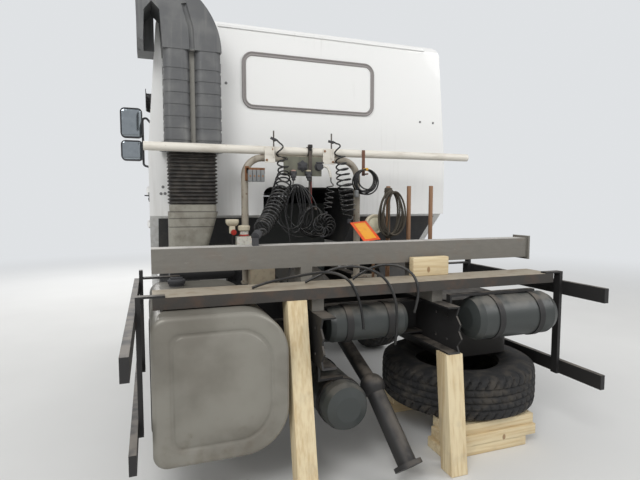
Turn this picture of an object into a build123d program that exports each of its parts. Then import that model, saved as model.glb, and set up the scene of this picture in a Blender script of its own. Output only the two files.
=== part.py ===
from build123d import *
import math
import os

# The front half of a cab-over tractor unit, with its chassis cut off behind the cab.
# Millimetres. X points to the truck's left, the front faces -Y, Z is up from the ground.

# Driving sizes of the whole
cab_width = 2500
cab_length = 2300
rear_wall_y = 190
cab_top = 2930
skirt_bottom = 800
rear_wall_bottom = 1467
shell_thickness = 60
panel_gap = 6
seat_clearance = 0.3
move_clearance = 6

# Wheels, tyres and the front axle
tyre_radius = 525
tyre_width = 295
rim_radius = 286
axle_setback = 1380
half_track = 1030
kingpin_x = 880
wheel_travel = 150
arch_gap = 100

# Frame rails
rail_outer = 425
rail_bottom = 690
rail_height = 275
rail_flange = 80
rail_wall = 10
stub_length = 1430

# Cab outline
kink_z = 1940
top_inset = 80
roof_corner = 110
screen_bottom = 1790
screen_top = 2590
screen_rake = 150
roof_front_rise = 420
corner_radius = 260
rear_corner = 75

# Engine tunnel and its cut-out in the rear wall
tunnel_half = 445
tunnel_top = 1730
tunnel_wall = 40
tunnel_corner = 110

# Rear things: cross beams on the cut frame
beam_rear_y = 1220
beam_depth = 130
beam_bottom = 1185
beam_height = 132
deck_depth = 240
deck_top = 1100
deck_height = 60
beam_half = 1250

# Places that follow from the driving sizes
front_y = rear_wall_y - cab_length
bumper_face = front_y - 80
axle_y = bumper_face + axle_setback
half_width = cab_width / 2
guard_x = half_width + 95
rail_top = rail_bottom + rail_height
cut_y = rear_wall_y + stub_length
wheel_z = tyre_radius
arch_radius = tyre_radius + arch_gap
floor_bottom = 2 * tyre_radius + wheel_travel
bumper_top = 715
bumper_bottom = 330

os.makedirs("parts", exist_ok=True)


def save(name, *pieces):
    """Writes the solids of the pieces as one node."""
    solids = [solid for piece in pieces for solid in piece.solids()]
    shape = solids[0] if len(solids) == 1 else Compound(solids)
    export_step(shape, f"parts/{name}.step")


def block(x0, x1, y0, y1, z0, z1):
    """A block between two corners."""
    size = (abs(x1 - x0), abs(y1 - y0), abs(z1 - z0))
    return Pos((x0 + x1) / 2, (y0 + y1) / 2, (z0 + z1) / 2) * Box(*size)


def bar(start, end, radius):
    """A round bar from one point to another."""
    way = Vector(*end) - Vector(*start)
    return extrude(Plane(origin=start, z_dir=way) * Circle(radius), way.length)


def pipe(points, radius, bends):
    """A round tube's outside along straight runs joined by arcs."""
    path = FilletPolyline(*points, radius=bends)
    section = Plane(origin=path @ 0, z_dir=path % 0) * Circle(radius)
    return sweep(section, path=path)


def route_radii(points):
    """The largest arc at each corner of a route: 0.45 of the shorter run over the half turn's tangent."""
    radii = []
    for before, at, after in zip(points, points[1:], points[2:]):
        run_in = Vector(*at) - Vector(*before)
        run_out = Vector(*after) - Vector(*at)
        half_turn = math.radians(run_in.get_angle(run_out)) / 2
        radii.append(0.45 * min(run_in.length, run_out.length) / math.tan(half_turn))
    return radii


def cord(name, points, radius):
    """A free cord's tube, with its bend radii and volume printed."""
    radii = route_radii(points)
    path = FilletPolyline(*points, radius=radii)
    section = Plane(origin=path @ 0, z_dir=path % 0) * Circle(radius)
    tube = sweep(section, path=path)
    volume = math.pi * radius**2 * path.length
    print(name, "radii", [round(r) for r in radii], "length", round(path.length),
          "volume share", round(tube.volume / volume, 3))
    return tube


def across(sketch, x0, x1):
    """A sketch drawn as (y, z), pulled along X."""
    plane = Plane(origin=(x0, 0, 0), x_dir=(0, 1, 0), z_dir=(1, 0, 0))
    return extrude(plane * sketch, x1 - x0)


def along(sketch, y0, y1):
    """A sketch drawn as (x, z), pulled along Y."""
    plane = Plane(origin=(0, y1, 0), x_dir=(1, 0, 0), z_dir=(0, -1, 0))
    return extrude(plane * sketch, y1 - y0)


def upright(sketch, z0, z1):
    """A sketch drawn as (x, y), pulled up."""
    return extrude(Pos(0, 0, z0) * sketch, z1 - z0)


def outline(points):
    """A closed straight-sided outline."""
    return make_face(Polyline(*points, close=True))


def window(y0, y1, z0, z1, radius, lean=0):
    """A rounded opening, whose front edge leans back by lean at the top."""
    shape = outline([(y0, z0), (y1, z0), (y1, z1), (y0 + lean, z1)])
    return fillet(shape.vertices(), radius)


def mirrored(piece):
    """The same piece on the other side."""
    return mirror(piece, about=Plane.YZ)


def turned_x(profile, x, y, z):
    """Turns a profile drawn as (radius, x) about a line along X through (x, y, z)."""
    solid = revolve(profile, axis=Axis.Y)
    return Pos(x, y, z) * Rot(0, 0, -90) * solid


# The cab's outer form, and the same form a wall's thickness further in
def cab_form(inset):
    """Where the cross-section, the side view and the plan of the cab meet, moved in by inset."""
    side_half = half_width - inset
    top_half = side_half - top_inset
    top = cab_top - inset
    cross = outline([(-side_half, 0), (side_half, 0), (side_half, kink_z), (top_half, top),
                     (-top_half, top), (-side_half, kink_z)])
    cross = fillet(cross.vertices().group_by(Axis.Y)[-1], roof_corner - inset)
    front = front_y + inset
    rear = rear_wall_y - inset
    side = outline([(front, 0), (rear, 0), (rear, top), (front + roof_front_rise + screen_rake, top),
                    (front + screen_rake + 30, screen_top + 90), (front + 20, screen_bottom - 60)])
    side = fillet(side.vertices().sort_by(Axis.X)[-2:].sort_by(Axis.Y)[-1:], rear_corner - inset)
    middle = (front + rear) / 2 + 300
    plan = Pos(0, middle) * Rectangle(2 * side_half, rear - front + 600)
    plan = fillet(plan.vertices().group_by(Axis.Y)[0], corner_radius - inset)
    body = along(cross, front_y - 10, rear_wall_y + 10)
    body = body & across(side, -half_width - 10, half_width + 10)
    return body & upright(plan, -10, cab_top + 10)


outer_form = cab_form(0)
inner_form = cab_form(shell_thickness)
low_cut = block(-2000, 2000, -4000, 4000, -500, skirt_bottom)
rear_low = block(-2000, 2000, axle_y, 4000, -500, floor_bottom)
rise_start = rear_wall_y - 420
rise_end = rear_wall_y - 40
slope = across(outline([(rise_start, 1100), (rear_wall_y + 100, 1100), (rear_wall_y + 100, rear_wall_bottom),
                        (rise_end, rear_wall_bottom)]), -2000, 2000)
arch = Pos(0, axle_y, wheel_z) * Rot(0, 90, 0) * Cylinder(arch_radius, 4000)
shell = outer_form - inner_form - low_cut - rear_low - slope - arch

# Doors: outline in the side view, front edge behind the mirror
door_front = -1740
door_rear = -800
door_bottom = 1180
door_top = 2640
door_window_bottom = 1810
door_window_top = 2500
door_shape = window(door_front, door_rear, door_bottom, door_top, 50, lean=30)
door_hole = window(door_front - panel_gap, door_rear + panel_gap, door_bottom - panel_gap,
                   door_top + panel_gap, 56, lean=30)
door_pane = window(door_front + 100, door_rear - 90, door_window_bottom, door_window_top, 70, lean=60)
pane_inset = 22
pane_thickness = 5

side_cut = half_width - 150
roof_split = 2700
front_split = front_y + 300
rear_split = rear_wall_y - shell_thickness

door_hole_left = across(door_hole, side_cut - 300, half_width + 100)
door_hole_right = mirrored(door_hole_left)
side_room = block(side_cut, 2000, front_split, rear_split, 0, roof_split)
side_left = (shell & side_room) - door_hole_left

# The panel behind the door has two pressed ribs
rib_rows = [(2120, 40), (2290, 40)]
rib_depth = 9
for rib_z, rib_height in rib_rows:
    rib = across(Pos((door_rear + rear_wall_y) / 2 + 20, rib_z) * SlotOverall(620, rib_height),
                 half_width - 120, half_width - 6)
    side_left = side_left - (rib & (outer_form - Pos(-rib_depth, 0, 0) * outer_form))

# Two steps are let into each skirt, ahead of the wheel
step_rows = [(830, 250), (1010, 200)]
step_y0 = front_y + 320
step_y1 = front_y + 700
tread_rows = []
for step_bottom, step_width in step_rows:
    mouth = across(Pos((step_y0 + step_y1) / 2, step_bottom + 75) * RectangleRounded(330, 150, 30),
                   side_cut, 2000)
    side_left = side_left - (mouth - arch)
    tread_rows.append(block(half_width - shell_thickness - step_width, half_width - shell_thickness,
                            step_y0 + 30, step_y1 - 30, step_bottom - 12, step_bottom + 10))
side_left = side_left.solids().sort_by(SortBy.VOLUME)[-1]
for tread in tread_rows:
    side_left = side_left + tread

# The roof carries a pressed lip round its rear edge
roof = shell & block(-2000, 2000, -4000, 4000, roof_split, 4000)
roof_lip = block(-half_width + 230, 740, rear_wall_y - 14, rear_wall_y + 8, 2872, 2890)
roof = roof + roof_lip

# The rear wall: window hole and engine tunnel cut-out
rear_window_x = 10
rear_window_z = 2500
rear_window_width = 1080
rear_window_height = 400
rear_window_corner = 70
rear_hole = Pos(rear_window_x, rear_window_z) * RectangleRounded(
    rear_window_width, rear_window_height, rear_window_corner)
tunnel_outer = outline([(-tunnel_half, 0), (tunnel_half, 0), (tunnel_half, tunnel_top),
                        (-tunnel_half, tunnel_top)])
tunnel_outer = fillet(tunnel_outer.vertices().group_by(Axis.Y)[-1], tunnel_corner)
tunnel_inner = outline([(-tunnel_half + tunnel_wall, -10), (tunnel_half - tunnel_wall, -10),
                        (tunnel_half - tunnel_wall, tunnel_top - tunnel_wall),
                        (-tunnel_half + tunnel_wall, tunnel_top - tunnel_wall)])
tunnel_inner = fillet(tunnel_inner.vertices().group_by(Axis.Y)[-1], tunnel_corner - tunnel_wall)
rear_wall = shell & block(-2000, 2000, rear_split, 4000, 0, roof_split)
rear_wall = rear_wall - along(rear_hole, rear_wall_y - 200, rear_wall_y + 100)
rear_wall = rear_wall - along(tunnel_inner, rear_wall_y - 200, rear_wall_y + 100)

# The blank panel that fills the rear window, held by a rubber frame
rubber_lap = 16
rubber_width = 30
panel_hole = Pos(rear_window_x, rear_window_z) * RectangleRounded(
    rear_window_width - 2 * rubber_lap, rear_window_height - 2 * rubber_lap, rear_window_corner - rubber_lap)
rubber_edge = Pos(rear_window_x, rear_window_z) * RectangleRounded(
    rear_window_width + rubber_width, rear_window_height + rubber_width,
    rear_window_corner + rubber_width / 2)
window_rubber = along(rubber_edge, rear_wall_y, rear_wall_y + 14) - along(
    panel_hole, rear_wall_y - 50, rear_wall_y + 50)
window_panel = along(panel_hole, rear_wall_y - 20, rear_wall_y + 6)
rubber_inner = along(rear_hole, rear_wall_y - 20, rear_wall_y) - along(
    panel_hole, rear_wall_y - 50, rear_wall_y + 50)
window_rubber = window_rubber + rubber_inner

# The front: screen opening, lid opening and lower intake slots
screen_half = half_width - 130
screen_opening = fillet(outline([(-screen_half, screen_bottom), (screen_half, screen_bottom),
                                 (screen_half - 60, screen_top), (-screen_half + 60, screen_top)]).vertices(), 80)
lid_half = 880
lid_bottom = 1110
lid_top = 1650
lid_shape = fillet(outline([(-lid_half, lid_bottom), (lid_half, lid_bottom), (lid_half, lid_top),
                            (-lid_half, lid_top)]).vertices(), 40)
lid_hole = fillet(outline([(-lid_half - panel_gap, lid_bottom - panel_gap),
                           (lid_half + panel_gap, lid_bottom - panel_gap),
                           (lid_half + panel_gap, lid_top + panel_gap),
                           (-lid_half - panel_gap, lid_top + panel_gap)]).vertices(), 46)
front_panel = shell & block(-2000, 2000, -4000, front_split, 0, roof_split)
front_panel = front_panel - along(screen_opening, front_y - 100, front_split + 200)
front_panel = front_panel - along(lid_hole, front_y - 100, front_y + 200)
lower_slots = [(880, 1500), (960, 1560), (1040, 1560)]
for slot_z, slot_length in lower_slots:
    front_panel = front_panel - along(Pos(0, slot_z) * SlotOverall(slot_length, 44),
                                      front_y - 100, front_y + 200)
front_panel = front_panel - door_hole_left - door_hole_right

lid_room = along(lid_shape, front_y - 100, front_y + 200)
front_lid = (outer_form - inner_form) & lid_room
lid_slots = [(1190, 1480), (1270, 1480), (1350, 1480), (1430, 1480)]
for slot_z, slot_length in lid_slots:
    front_lid = front_lid - along(Pos(0, slot_z) * SlotOverall(slot_length, 48),
                                  front_y - 100, front_y + 200)

# Glass follows the cab's form, a little inside the skin
glass_layer = cab_form(pane_inset) - cab_form(pane_inset + pane_thickness)
windscreen = glass_layer & along(screen_opening, front_y - 100, front_split + 60)
windscreen = windscreen & block(-2000, 2000, -4000, front_split, 0, roof_split)
door_layer = glass_layer & block(side_cut, 2000, -4000, rear_split, 0, roof_split)
door_glass_left = door_layer & across(door_pane, side_cut, half_width + 100)
door_left = (outer_form - inner_form) & across(door_shape, side_cut, half_width + 100)
door_left = door_left - across(door_pane, side_cut - 100, half_width + 100)

# Door hinges: a pin on the pillar and a leaf with an eye on the door
hinge_x = half_width + 14
hinge_y = door_front - 2
pin_radius = 8
hinge_heights = [1330, 1700]
for hinge_z in hinge_heights:
    pin = Pos(hinge_x, hinge_y, hinge_z) * Cylinder(pin_radius, 90)
    foot = block(half_width, hinge_x + 6, hinge_y - 60, hinge_y - 4, hinge_z + 26, hinge_z + 45)
    foot = foot + block(hinge_x - 6, hinge_x + 6, hinge_y - 10, hinge_y + 2, hinge_z + 26, hinge_z + 45)
    lower = block(half_width, hinge_x + 6, hinge_y - 60, hinge_y - 4, hinge_z - 45, hinge_z - 26)
    lower = lower + block(hinge_x - 6, hinge_x + 6, hinge_y - 10, hinge_y + 2, hinge_z - 45, hinge_z - 26)
    side_left = side_left + ((pin + foot + lower) - outer_form)
    eye = Pos(hinge_x, hinge_y, hinge_z) * Cylinder(pin_radius + 6, 48)
    leaf = block(half_width, hinge_x - 2, hinge_y + 8, hinge_y + 70, hinge_z - 24, hinge_z + 24)
    reach = block(hinge_x - 12, hinge_x + 4, hinge_y, hinge_y + 20, hinge_z - 24, hinge_z + 24)
    eye = (eye + leaf + reach) - Pos(hinge_x, hinge_y, hinge_z) * Cylinder(pin_radius + seat_clearance, 60)
    door_left = door_left + eye

# Lid hinges at its top corners
lid_hinge_z = lid_top + 3
lid_hinge_y = front_y - 14
for place in (-500, 500):
    lid_pin = Pos(place, lid_hinge_y, lid_hinge_z) * Rot(0, 90, 0) * Cylinder(7, 80)
    ears = block(place - 40, place - 24, front_y - 24, front_y - 6, lid_hinge_z - 8, lid_hinge_z + 40)
    ears = ears + block(place - 40, place - 24, front_y - 24, front_y + 40, lid_top + 12, lid_hinge_z + 40)
    ears = ears + Pos(64, 0, 0) * ears
    front_panel = front_panel + (lid_pin + ears)
    lid_eye = Pos(place, lid_hinge_y, lid_hinge_z) * Rot(0, 90, 0) * Cylinder(13, 40)
    lid_leaf = block(place - 20, place + 20, front_y - 16, front_y + 34, lid_top - 60, lid_top - 8)
    lid_eye = lid_eye + lid_leaf + block(place - 20, place + 20, lid_hinge_y - 6, lid_hinge_y + 6,
                                         lid_top - 20, lid_hinge_z)
    lid_bore = Pos(place, lid_hinge_y, lid_hinge_z) * Rot(0, 90, 0) * Cylinder(7 + seat_clearance, 60)
    front_lid = front_lid + (lid_eye - lid_bore)

# Floor with the engine tunnel, which is lower ahead of the seats
floor_thickness = 50
tunnel_front = front_y + shell_thickness + 30
floor = inner_form & block(-2000, 2000, tunnel_front, rear_split, floor_bottom, floor_bottom + floor_thickness)
tunnel = along(tunnel_outer, tunnel_front, rear_split) - along(tunnel_inner, tunnel_front - 10, rear_split + 10)
tunnel = tunnel & block(-2000, 2000, -4000, 4000, floor_bottom, 4000)
floor = floor - along(tunnel_outer, tunnel_front - 10, rear_split + 10)
rise_skin = across(outline([(rise_start - 60, 1100), (rear_wall_y + 100, 1100),
                            (rear_wall_y + 100, rear_wall_bottom + floor_thickness),
                            (rise_end - 26, rear_wall_bottom + floor_thickness)]), -2000, 2000)
rise = (inner_form & rise_skin & block(-2000, 2000, -4000, rear_split, floor_bottom, 4000)) - slope
rise = rise - along(tunnel_outer, tunnel_front - 10, rear_split + 10)
cab_floor = (floor + tunnel + rise) - slope

# The cab's front pivots hang from the floor on two arms
pivot_y = front_y + 60
pivot_z = 700
pivot_x = 440
pivot_arm_width = 25
pivot_pin = 14
pivot_eye = 24
pivot_arm_shape = outline([(pivot_y - pivot_eye + 2, pivot_z), (pivot_y + 16, skirt_bottom - 10),
                           (tunnel_front + 2, floor_bottom), (tunnel_front + 110, floor_bottom),
                           (pivot_y + 34, skirt_bottom - 20), (pivot_y + pivot_eye - 2, pivot_z)])
pivot_arm = across(pivot_arm_shape, pivot_x, pivot_x + pivot_arm_width)
pivot_arm = pivot_arm + bar((pivot_x, pivot_y, pivot_z), (pivot_x + pivot_arm_width, pivot_y, pivot_z), pivot_eye)
pivot_arm = pivot_arm - bar((pivot_x - 10, pivot_y, pivot_z), (pivot_x + 60, pivot_y, pivot_z),
                            pivot_pin + seat_clearance)
pivot_arm = pivot_arm + block(pivot_x, 560, tunnel_front + 2, tunnel_front + 110, floor_bottom - 12, floor_bottom)
cab_floor = cab_floor + pivot_arm + mirrored(pivot_arm)

# Inside: dashboard, seats, bunk and steering wheel
dash_shape = outline([(front_y + 95, 1500), (front_y + 430, 1500), (front_y + 500, 1640),
                      (front_y + 430, 1760), (front_y + 95, 1770)])
dashboard = across(dash_shape, -1120, 1120) & inner_form
dashboard = dashboard - along(tunnel_outer, front_y, 0)
seat_parts = []
seat_width = 500
for seat_x in (-740, 740):
    pedestal = block(seat_x - 170, seat_x + 170, -1120, -760, floor_bottom + floor_thickness, 1560)
    cushion = block(seat_x - seat_width / 2, seat_x + seat_width / 2, -1200, -700, 1560, 1680)
    cushion = fillet(cushion.edges().filter_by(Axis.X).group_by(Axis.Z)[-1], 40)
    back_shape = outline([(-790, 1680), (-680, 1680), (-540, 2330), (-620, 2330)])
    back_shape = fillet(back_shape.vertices().group_by(Axis.Y)[-1], 30)
    back = across(back_shape, seat_x - seat_width / 2 + 15, seat_x + seat_width / 2 - 15)
    rest = block(seat_x - 130, seat_x + 130, -620, -540, 2350, 2520)
    stem = block(seat_x - 60, seat_x + 60, -590, -570, 2330, 2350)
    seat_parts.append(pedestal + cushion + back + rest + stem)
bunk = block(-1100, 1100, rear_split - 520, rear_split, 1780, 1900)
bunk = fillet(bunk.edges().filter_by(Axis.X).group_by(Axis.Y)[0], 40)
bunk_base = block(-1100, 1100, rear_split - 500, rear_split, tunnel_top, 1780)
steer_ring = revolve(Plane.XZ * Pos(225, 0) * RegularPolygon(17, 8), axis=Axis.Z)
steer_wheel = Pos(-740, -1440, 1860) * Rot(-32, 0, 0) * steer_ring
steer_spokes = Pos(-740, -1440, 1860) * Rot(-32, 0, 0) * Box(440, 36, 14)
steer_column = bar((-740, -1440, 1856), (-740, front_y + 420, 1560), 28)
steer_group = (steer_wheel + steer_spokes + steer_column) - dashboard

# Sun visor: a bent plate over the screen that stands out past the corners
visor_y = front_y + 60
visor_plan = Pos(0, (visor_y + 420) / 2) * Rectangle(2 * 1262, 420 - visor_y)
visor_plan = fillet(visor_plan.vertices().group_by(Axis.Y)[0], 200)
visor_inner = offset(visor_plan, -8, kind=Kind.INTERSECTION)
sun_visor = upright(visor_plan, 2590, 2790) - upright(visor_inner, 2580, 2800)
sun_visor = sun_visor & block(-2000, 2000, -4000, front_y + 430, 0, 4000)
for stay_x in (-900, -300, 300, 900):
    stay = bar((stay_x, visor_y + 6, 2720), (stay_x, front_y + 330, 2720), 8)
    sun_visor = sun_visor + (stay - outer_form)
for stay_x in (-1, 1):
    stay = bar((stay_x * 1255, front_y + 400, 2740), (stay_x * 1150, front_y + 400, 2740), 8)
    sun_visor = sun_visor + (stay - outer_form)

# Mirrors on a bent stay ahead of each door
mirror_y0 = -1925
mirror_y1 = -1785
mirror_x0 = half_width + 50
mirror_x1 = half_width + 278
mirror_rows = [(2280, 2600), (2030, 2250)]
mirror_parts = []
for low, high in mirror_rows:
    shell_sketch = Pos((mirror_x0 + mirror_x1) / 2, (low + high) / 2) * RectangleRounded(
        mirror_x1 - mirror_x0, high - low, 50)
    housing = along(shell_sketch, mirror_y0 + 40, mirror_y1)
    housing = chamfer(housing.faces().sort_by(Axis.Y)[0].edges(), 14)
    recess = along(offset(shell_sketch, -10), mirror_y1 - 14, mirror_y1 + 10)
    mirror_parts.append(housing - recess)
stay_x = half_width + 30
mirror_stay = pipe([(half_width - 30, -1850, 2460), (stay_x + 20, -1850, 2560), (stay_x + 20, -1850, 1985),
                    (half_width - 30, -1850, 1960)], 12, 30)
mirror_stay = mirror_stay - outer_form
mirror_left = mirror_parts[0] + mirror_parts[1] + mirror_stay

# Left air intake: two ribbed ducts under a hood that wraps the cab's corner
duct_depth = 270
duct_bottom = 1975
duct_bend_z = 2600
duct_columns = [(753, 932), (968, 1142)]
rib_pitch = 80
duct_parts = []
for inner_x, outer_x in duct_columns:
    middle_x = (inner_x + outer_x) / 2
    width = outer_x - inner_x
    middle_y = rear_wall_y + duct_depth / 2
    column = upright(Pos(middle_x, middle_y) * RectangleRounded(width - 8, duct_depth - 8, 45),
                     duct_bottom, duct_bend_z + 5)
    rib_z = duct_bottom + 20
    while rib_z < duct_bend_z - 60:
        rib = upright(Pos(middle_x, middle_y) * RectangleRounded(width, duct_depth, 49), rib_z, rib_z + 58)
        column = column + rib
        rib_z = rib_z + rib_pitch
    duct_parts.append(column)
duct_web = block(duct_columns[0][1] - 30, duct_columns[1][0] + 30, rear_wall_y, rear_wall_y + duct_depth - 60,
                 duct_bottom, duct_bend_z + 5)
bend_radius = 480
bend_x = duct_columns[0][0] + bend_radius
hood_top = duct_bend_z + bend_radius
lip_x = 1306
with BuildSketch() as hood_sketch:
    with BuildLine():
        start = (duct_columns[0][0], duct_bend_z)
        crown = (bend_x, hood_top)
        JernArc(start=start, tangent=(0, 1), radius=bend_radius, arc_size=-90)
        Polyline(crown, (lip_x - 60, hood_top), (lip_x, hood_top - 70), (lip_x - 6, 2650), (lip_x - 44, 2630),
                 (lip_x - 52, 2830), (lip_x - 100, 2890), (duct_columns[1][1] + 14, 2840),
                 (duct_columns[1][1], duct_bend_z), start)
    make_face()
hood = along(hood_sketch.sketch, rear_wall_y, rear_wall_y + duct_depth)
hood_slot = pipe([(950, rear_wall_y + duct_depth, duct_bend_z - 20),
                  (955, rear_wall_y + duct_depth, duct_bend_z + 140),
                  (1000, rear_wall_y + duct_depth, duct_bend_z + 300)], 18, 200)
hood_mouth = block(half_width - 60, lip_x, rear_wall_y - 200, rear_wall_y + 1, 2640, hood_top - 60)
hood = (hood - hood_slot) + (hood_mouth - outer_form)
base_flange = upright(Pos(948, rear_wall_y + duct_depth / 2) * RectangleRounded(450, duct_depth, 40),
                      duct_bottom - 40, duct_bottom + 2)
intake_duct = duct_parts[0] + duct_parts[1] + duct_web + hood + base_flange
intake_duct = intake_duct - cab_form(-0.3)

# Rubber bellows under the duct, and the fixed cone that it meets
bellows_x = 957
bellows_width = 339
bellows_depth = 240
bellows_bottom = 1552
bellows_top = duct_bottom - 40
fold_count = 15
fold_pitch = (bellows_top - bellows_bottom) / fold_count
bellows_y = rear_wall_y + duct_depth / 2
bellows = upright(Pos(bellows_x, bellows_y) * RectangleRounded(bellows_width - 36, bellows_depth - 36, 30),
                  bellows_bottom, bellows_top)
for fold in range(fold_count):
    fold_z = bellows_bottom + fold * fold_pitch
    bellows = bellows + upright(Pos(bellows_x, bellows_y) * RectangleRounded(bellows_width, bellows_depth, 40),
                                fold_z, fold_z + 0.5 * fold_pitch)
cone_bottom = 1250
cone = loft([Pos(bellows_x, bellows_y, bellows_bottom - 50 - seat_clearance) * RectangleRounded(
                 bellows_width, bellows_depth, 40),
             Pos(bellows_x + 35, bellows_y, cone_bottom) * RectangleRounded(
                 bellows_width - 70, bellows_depth - 30, 40)])
collar = upright(Pos(bellows_x, bellows_y) * RectangleRounded(bellows_width - 20, bellows_depth - 20, 36),
                 bellows_bottom - 50 - seat_clearance, bellows_bottom - seat_clearance)
cleaner = block(680, 1130, rear_wall_y + 10, rear_wall_y + 255, 1010, cone_bottom)
cleaner = fillet(cleaner.edges().filter_by(Axis.X), 60)
cleaner_arm = block(rail_outer, 720, rear_wall_y + 100, rear_wall_y + 180, rail_bottom + 60, 1060)
air_cone = cone + collar
air_cleaner = cleaner + cleaner_arm

# Reservoirs beside the cone
tank_tray = block(560, 700, rear_wall_y + 340, rear_wall_y + 450, 1150, 1170)
tray_arm = block(rail_outer, 600, rear_wall_y + 350, rear_wall_y + 430, 940, 1150)
reservoir = upright(Pos(635, rear_wall_y + 390) * RectangleRounded(110, 100, 20), 1170, 1330)
reservoir_cap = Pos(635, rear_wall_y + 390, 1350) * Cylinder(28, 40)
reservoirs = tank_tray + tray_arm + reservoir + reservoir_cap

# Frame rails: two channels with torn ends
rail_front = front_y + 110
jag_rows = [(0, 0), (-34, 40), (8, 90), (-22, 130), (-6, 170), (-46, 215), (-12, 275)]


def rail_channel():
    """The left rail: a channel open inwards, its rear end cut roughly by torch."""
    inner = rail_outer - rail_flange
    body = block(inner, rail_outer, rail_front, cut_y + 60, rail_bottom, rail_top)
    hollow = block(inner - 10, rail_outer - rail_wall, rail_front - 10, cut_y + 80,
                   rail_bottom + rail_wall, rail_top - rail_wall)
    jag = [(cut_y + shift, rail_bottom + height) for shift, height in jag_rows]
    jag[0] = (jag[0][0], rail_bottom - 20)
    jag[-1] = (jag[-1][0], rail_top + 20)
    away = outline(jag + [(cut_y + 200, rail_top + 20), (cut_y + 200, rail_bottom - 20)])
    return body - hollow - across(away, -2000, 2000)


rail_left = rail_channel()
hole_rows = [(cut_y - 130, 60), (cut_y - 130, 200), (cut_y - 250, 60), (cut_y - 250, 200)]
bolt_hole_radius = 8.5
for hole_y, hole_up in hole_rows:
    hole = Pos(rail_outer, hole_y, rail_bottom + hole_up) * Rot(0, 90, 0) * Cylinder(bolt_hole_radius, 60)
    rail_left = rail_left - hole
rest_y = rise_start - 150
rest_foot = block(rail_outer - 50, 520, rest_y, rest_y + 70, rail_top, rail_top + 20)
rest_post = block(460, 520, rest_y, rest_y + 70, rail_top, floor_bottom - seat_clearance)
rail_left = rail_left + rest_foot + rest_post
web_inner = rail_outer - rail_wall
cross_rows = [(rail_front + 60, 120, 30), (rear_wall_y + 250, 100, 130), (rear_wall_y + 620, 100, 30),
              (rear_wall_y + 930, 100, 30)]
cross_members = []
for cross_y, cross_width, cross_low in cross_rows:
    low = rail_bottom + cross_low
    piece = block(-web_inner, web_inner, cross_y, cross_y + cross_width, low, rail_top - 30)
    piece = piece - block(-web_inner - 10, web_inner + 10, cross_y + 10, cross_y + cross_width + 10,
                          low + 10, rail_top - 40)
    cross_members.append(piece)

# Bumper with lamp openings, a lower slot and a towing pin
bumper_half = half_width - 5
bumper_plan = Pos(0, bumper_face + 400) * Rectangle(2 * bumper_half, 800)
bumper_plan = fillet(bumper_plan.vertices().group_by(Axis.Y)[0], 240)
bumper_skin = 60
bumper_inner = offset(bumper_plan, -bumper_skin, kind=Kind.INTERSECTION)
bumper_body = upright(bumper_plan, bumper_bottom, bumper_top) - upright(
    bumper_inner, bumper_bottom + 40, bumper_top - 40)
bumper_body = bumper_body & block(-2000, 2000, -4000, bumper_face + 480, 0, 2000)
bumper_body = bumper_body - upright(offset(bumper_plan, -110, kind=Kind.INTERSECTION), 0, 2000)
lamp_x = 930
lamp_z = 545
lamp_width = 330
lamp_height = 180
lamp_hole = along(Pos(lamp_x, lamp_z) * RectangleRounded(lamp_width, lamp_height, 30),
                  bumper_face - 50, bumper_face + 140)
bumper_body = bumper_body - lamp_hole - mirrored(lamp_hole)
bumper_body = bumper_body - along(Pos(0, 470) * SlotOverall(900, 90), bumper_face - 50, bumper_face + 130)
tow_x = 260
tow_z = 620
tow_bore = 20
tow_boss = Pos(tow_x, bumper_face + 60, tow_z) * Rot(90, 0, 0) * Cylinder(45, 112)
tow_hole = Pos(tow_x, bumper_face + 60, tow_z) * Rot(90, 0, 0) * Cylinder(tow_bore, 200)
bumper_body = (bumper_body + tow_boss) - tow_hole
bumper_arm = block(rail_outer - rail_flange, rail_outer, bumper_face + 55, rail_front, rail_bottom - 120,
                   pivot_z + pivot_pin + 4)
bumper_arm = bumper_arm + bar((rail_outer - 20, pivot_y, pivot_z), (pivot_x + pivot_arm_width + 6, pivot_y, pivot_z),
                              pivot_pin)
bumper_arm = bumper_arm + block(rail_outer - rail_flange, rail_outer, rail_front - 30, rail_front + 260,
                                rail_bottom - 120, rail_bottom)
front_bumper = bumper_body + bumper_arm + mirrored(bumper_arm)
lamp_gap = 0.3
lamp_body = along(Pos(lamp_x, lamp_z) * RectangleRounded(lamp_width - 2 * lamp_gap, lamp_height - 2 * lamp_gap, 30),
                  bumper_face + 8, bumper_face + 105)
lamp_bowls = []
for bowl_x, bowl_radius in ((lamp_x - 75, 68), (lamp_x + 80, 62)):
    bowl = Pos(bowl_x, bumper_face + 8, lamp_z) * Rot(90, 0, 0) * Cone(bowl_radius * 0.5, bowl_radius, 60)
    lamp_body = lamp_body - bowl
headlamps_pair = [lamp_body, mirrored(lamp_body)]

# Front axle beam, dropped in the middle, with an eye at each end for the kingpin
beam_half_depth = 45
fist_radius = 40
fist_low = wheel_z - 55
fist_high = wheel_z + 55
axle_profile = outline([(-820, fist_low), (-700, fist_low), (-560, 370), (560, 370), (700, fist_low),
                        (820, fist_low), (820, fist_high - 10), (680, fist_high - 10), (540, 475), (-540, 475),
                        (-680, fist_high - 10), (-820, fist_high - 10)])
axle_beam = along(axle_profile, axle_y - beam_half_depth, axle_y + beam_half_depth)
waist = along(offset(axle_profile, -22, kind=Kind.INTERSECTION), axle_y - 80, axle_y - 18)
waist_back = along(offset(axle_profile, -22, kind=Kind.INTERSECTION), axle_y + 18, axle_y + 80)
axle_beam = axle_beam - waist - waist_back
pin_bore = 24
for side in (-1, 1):
    fist = Pos(side * kingpin_x, axle_y, wheel_z) * Cylinder(fist_radius, fist_high - fist_low)
    neck = block(side * 810, side * kingpin_x, axle_y - 30, axle_y + 30, fist_low, fist_high)
    axle_beam = axle_beam + fist + neck
for side in (-1, 1):
    axle_beam = axle_beam - Pos(side * kingpin_x, axle_y, wheel_z) * Cylinder(pin_bore + seat_clearance, 400)

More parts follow.
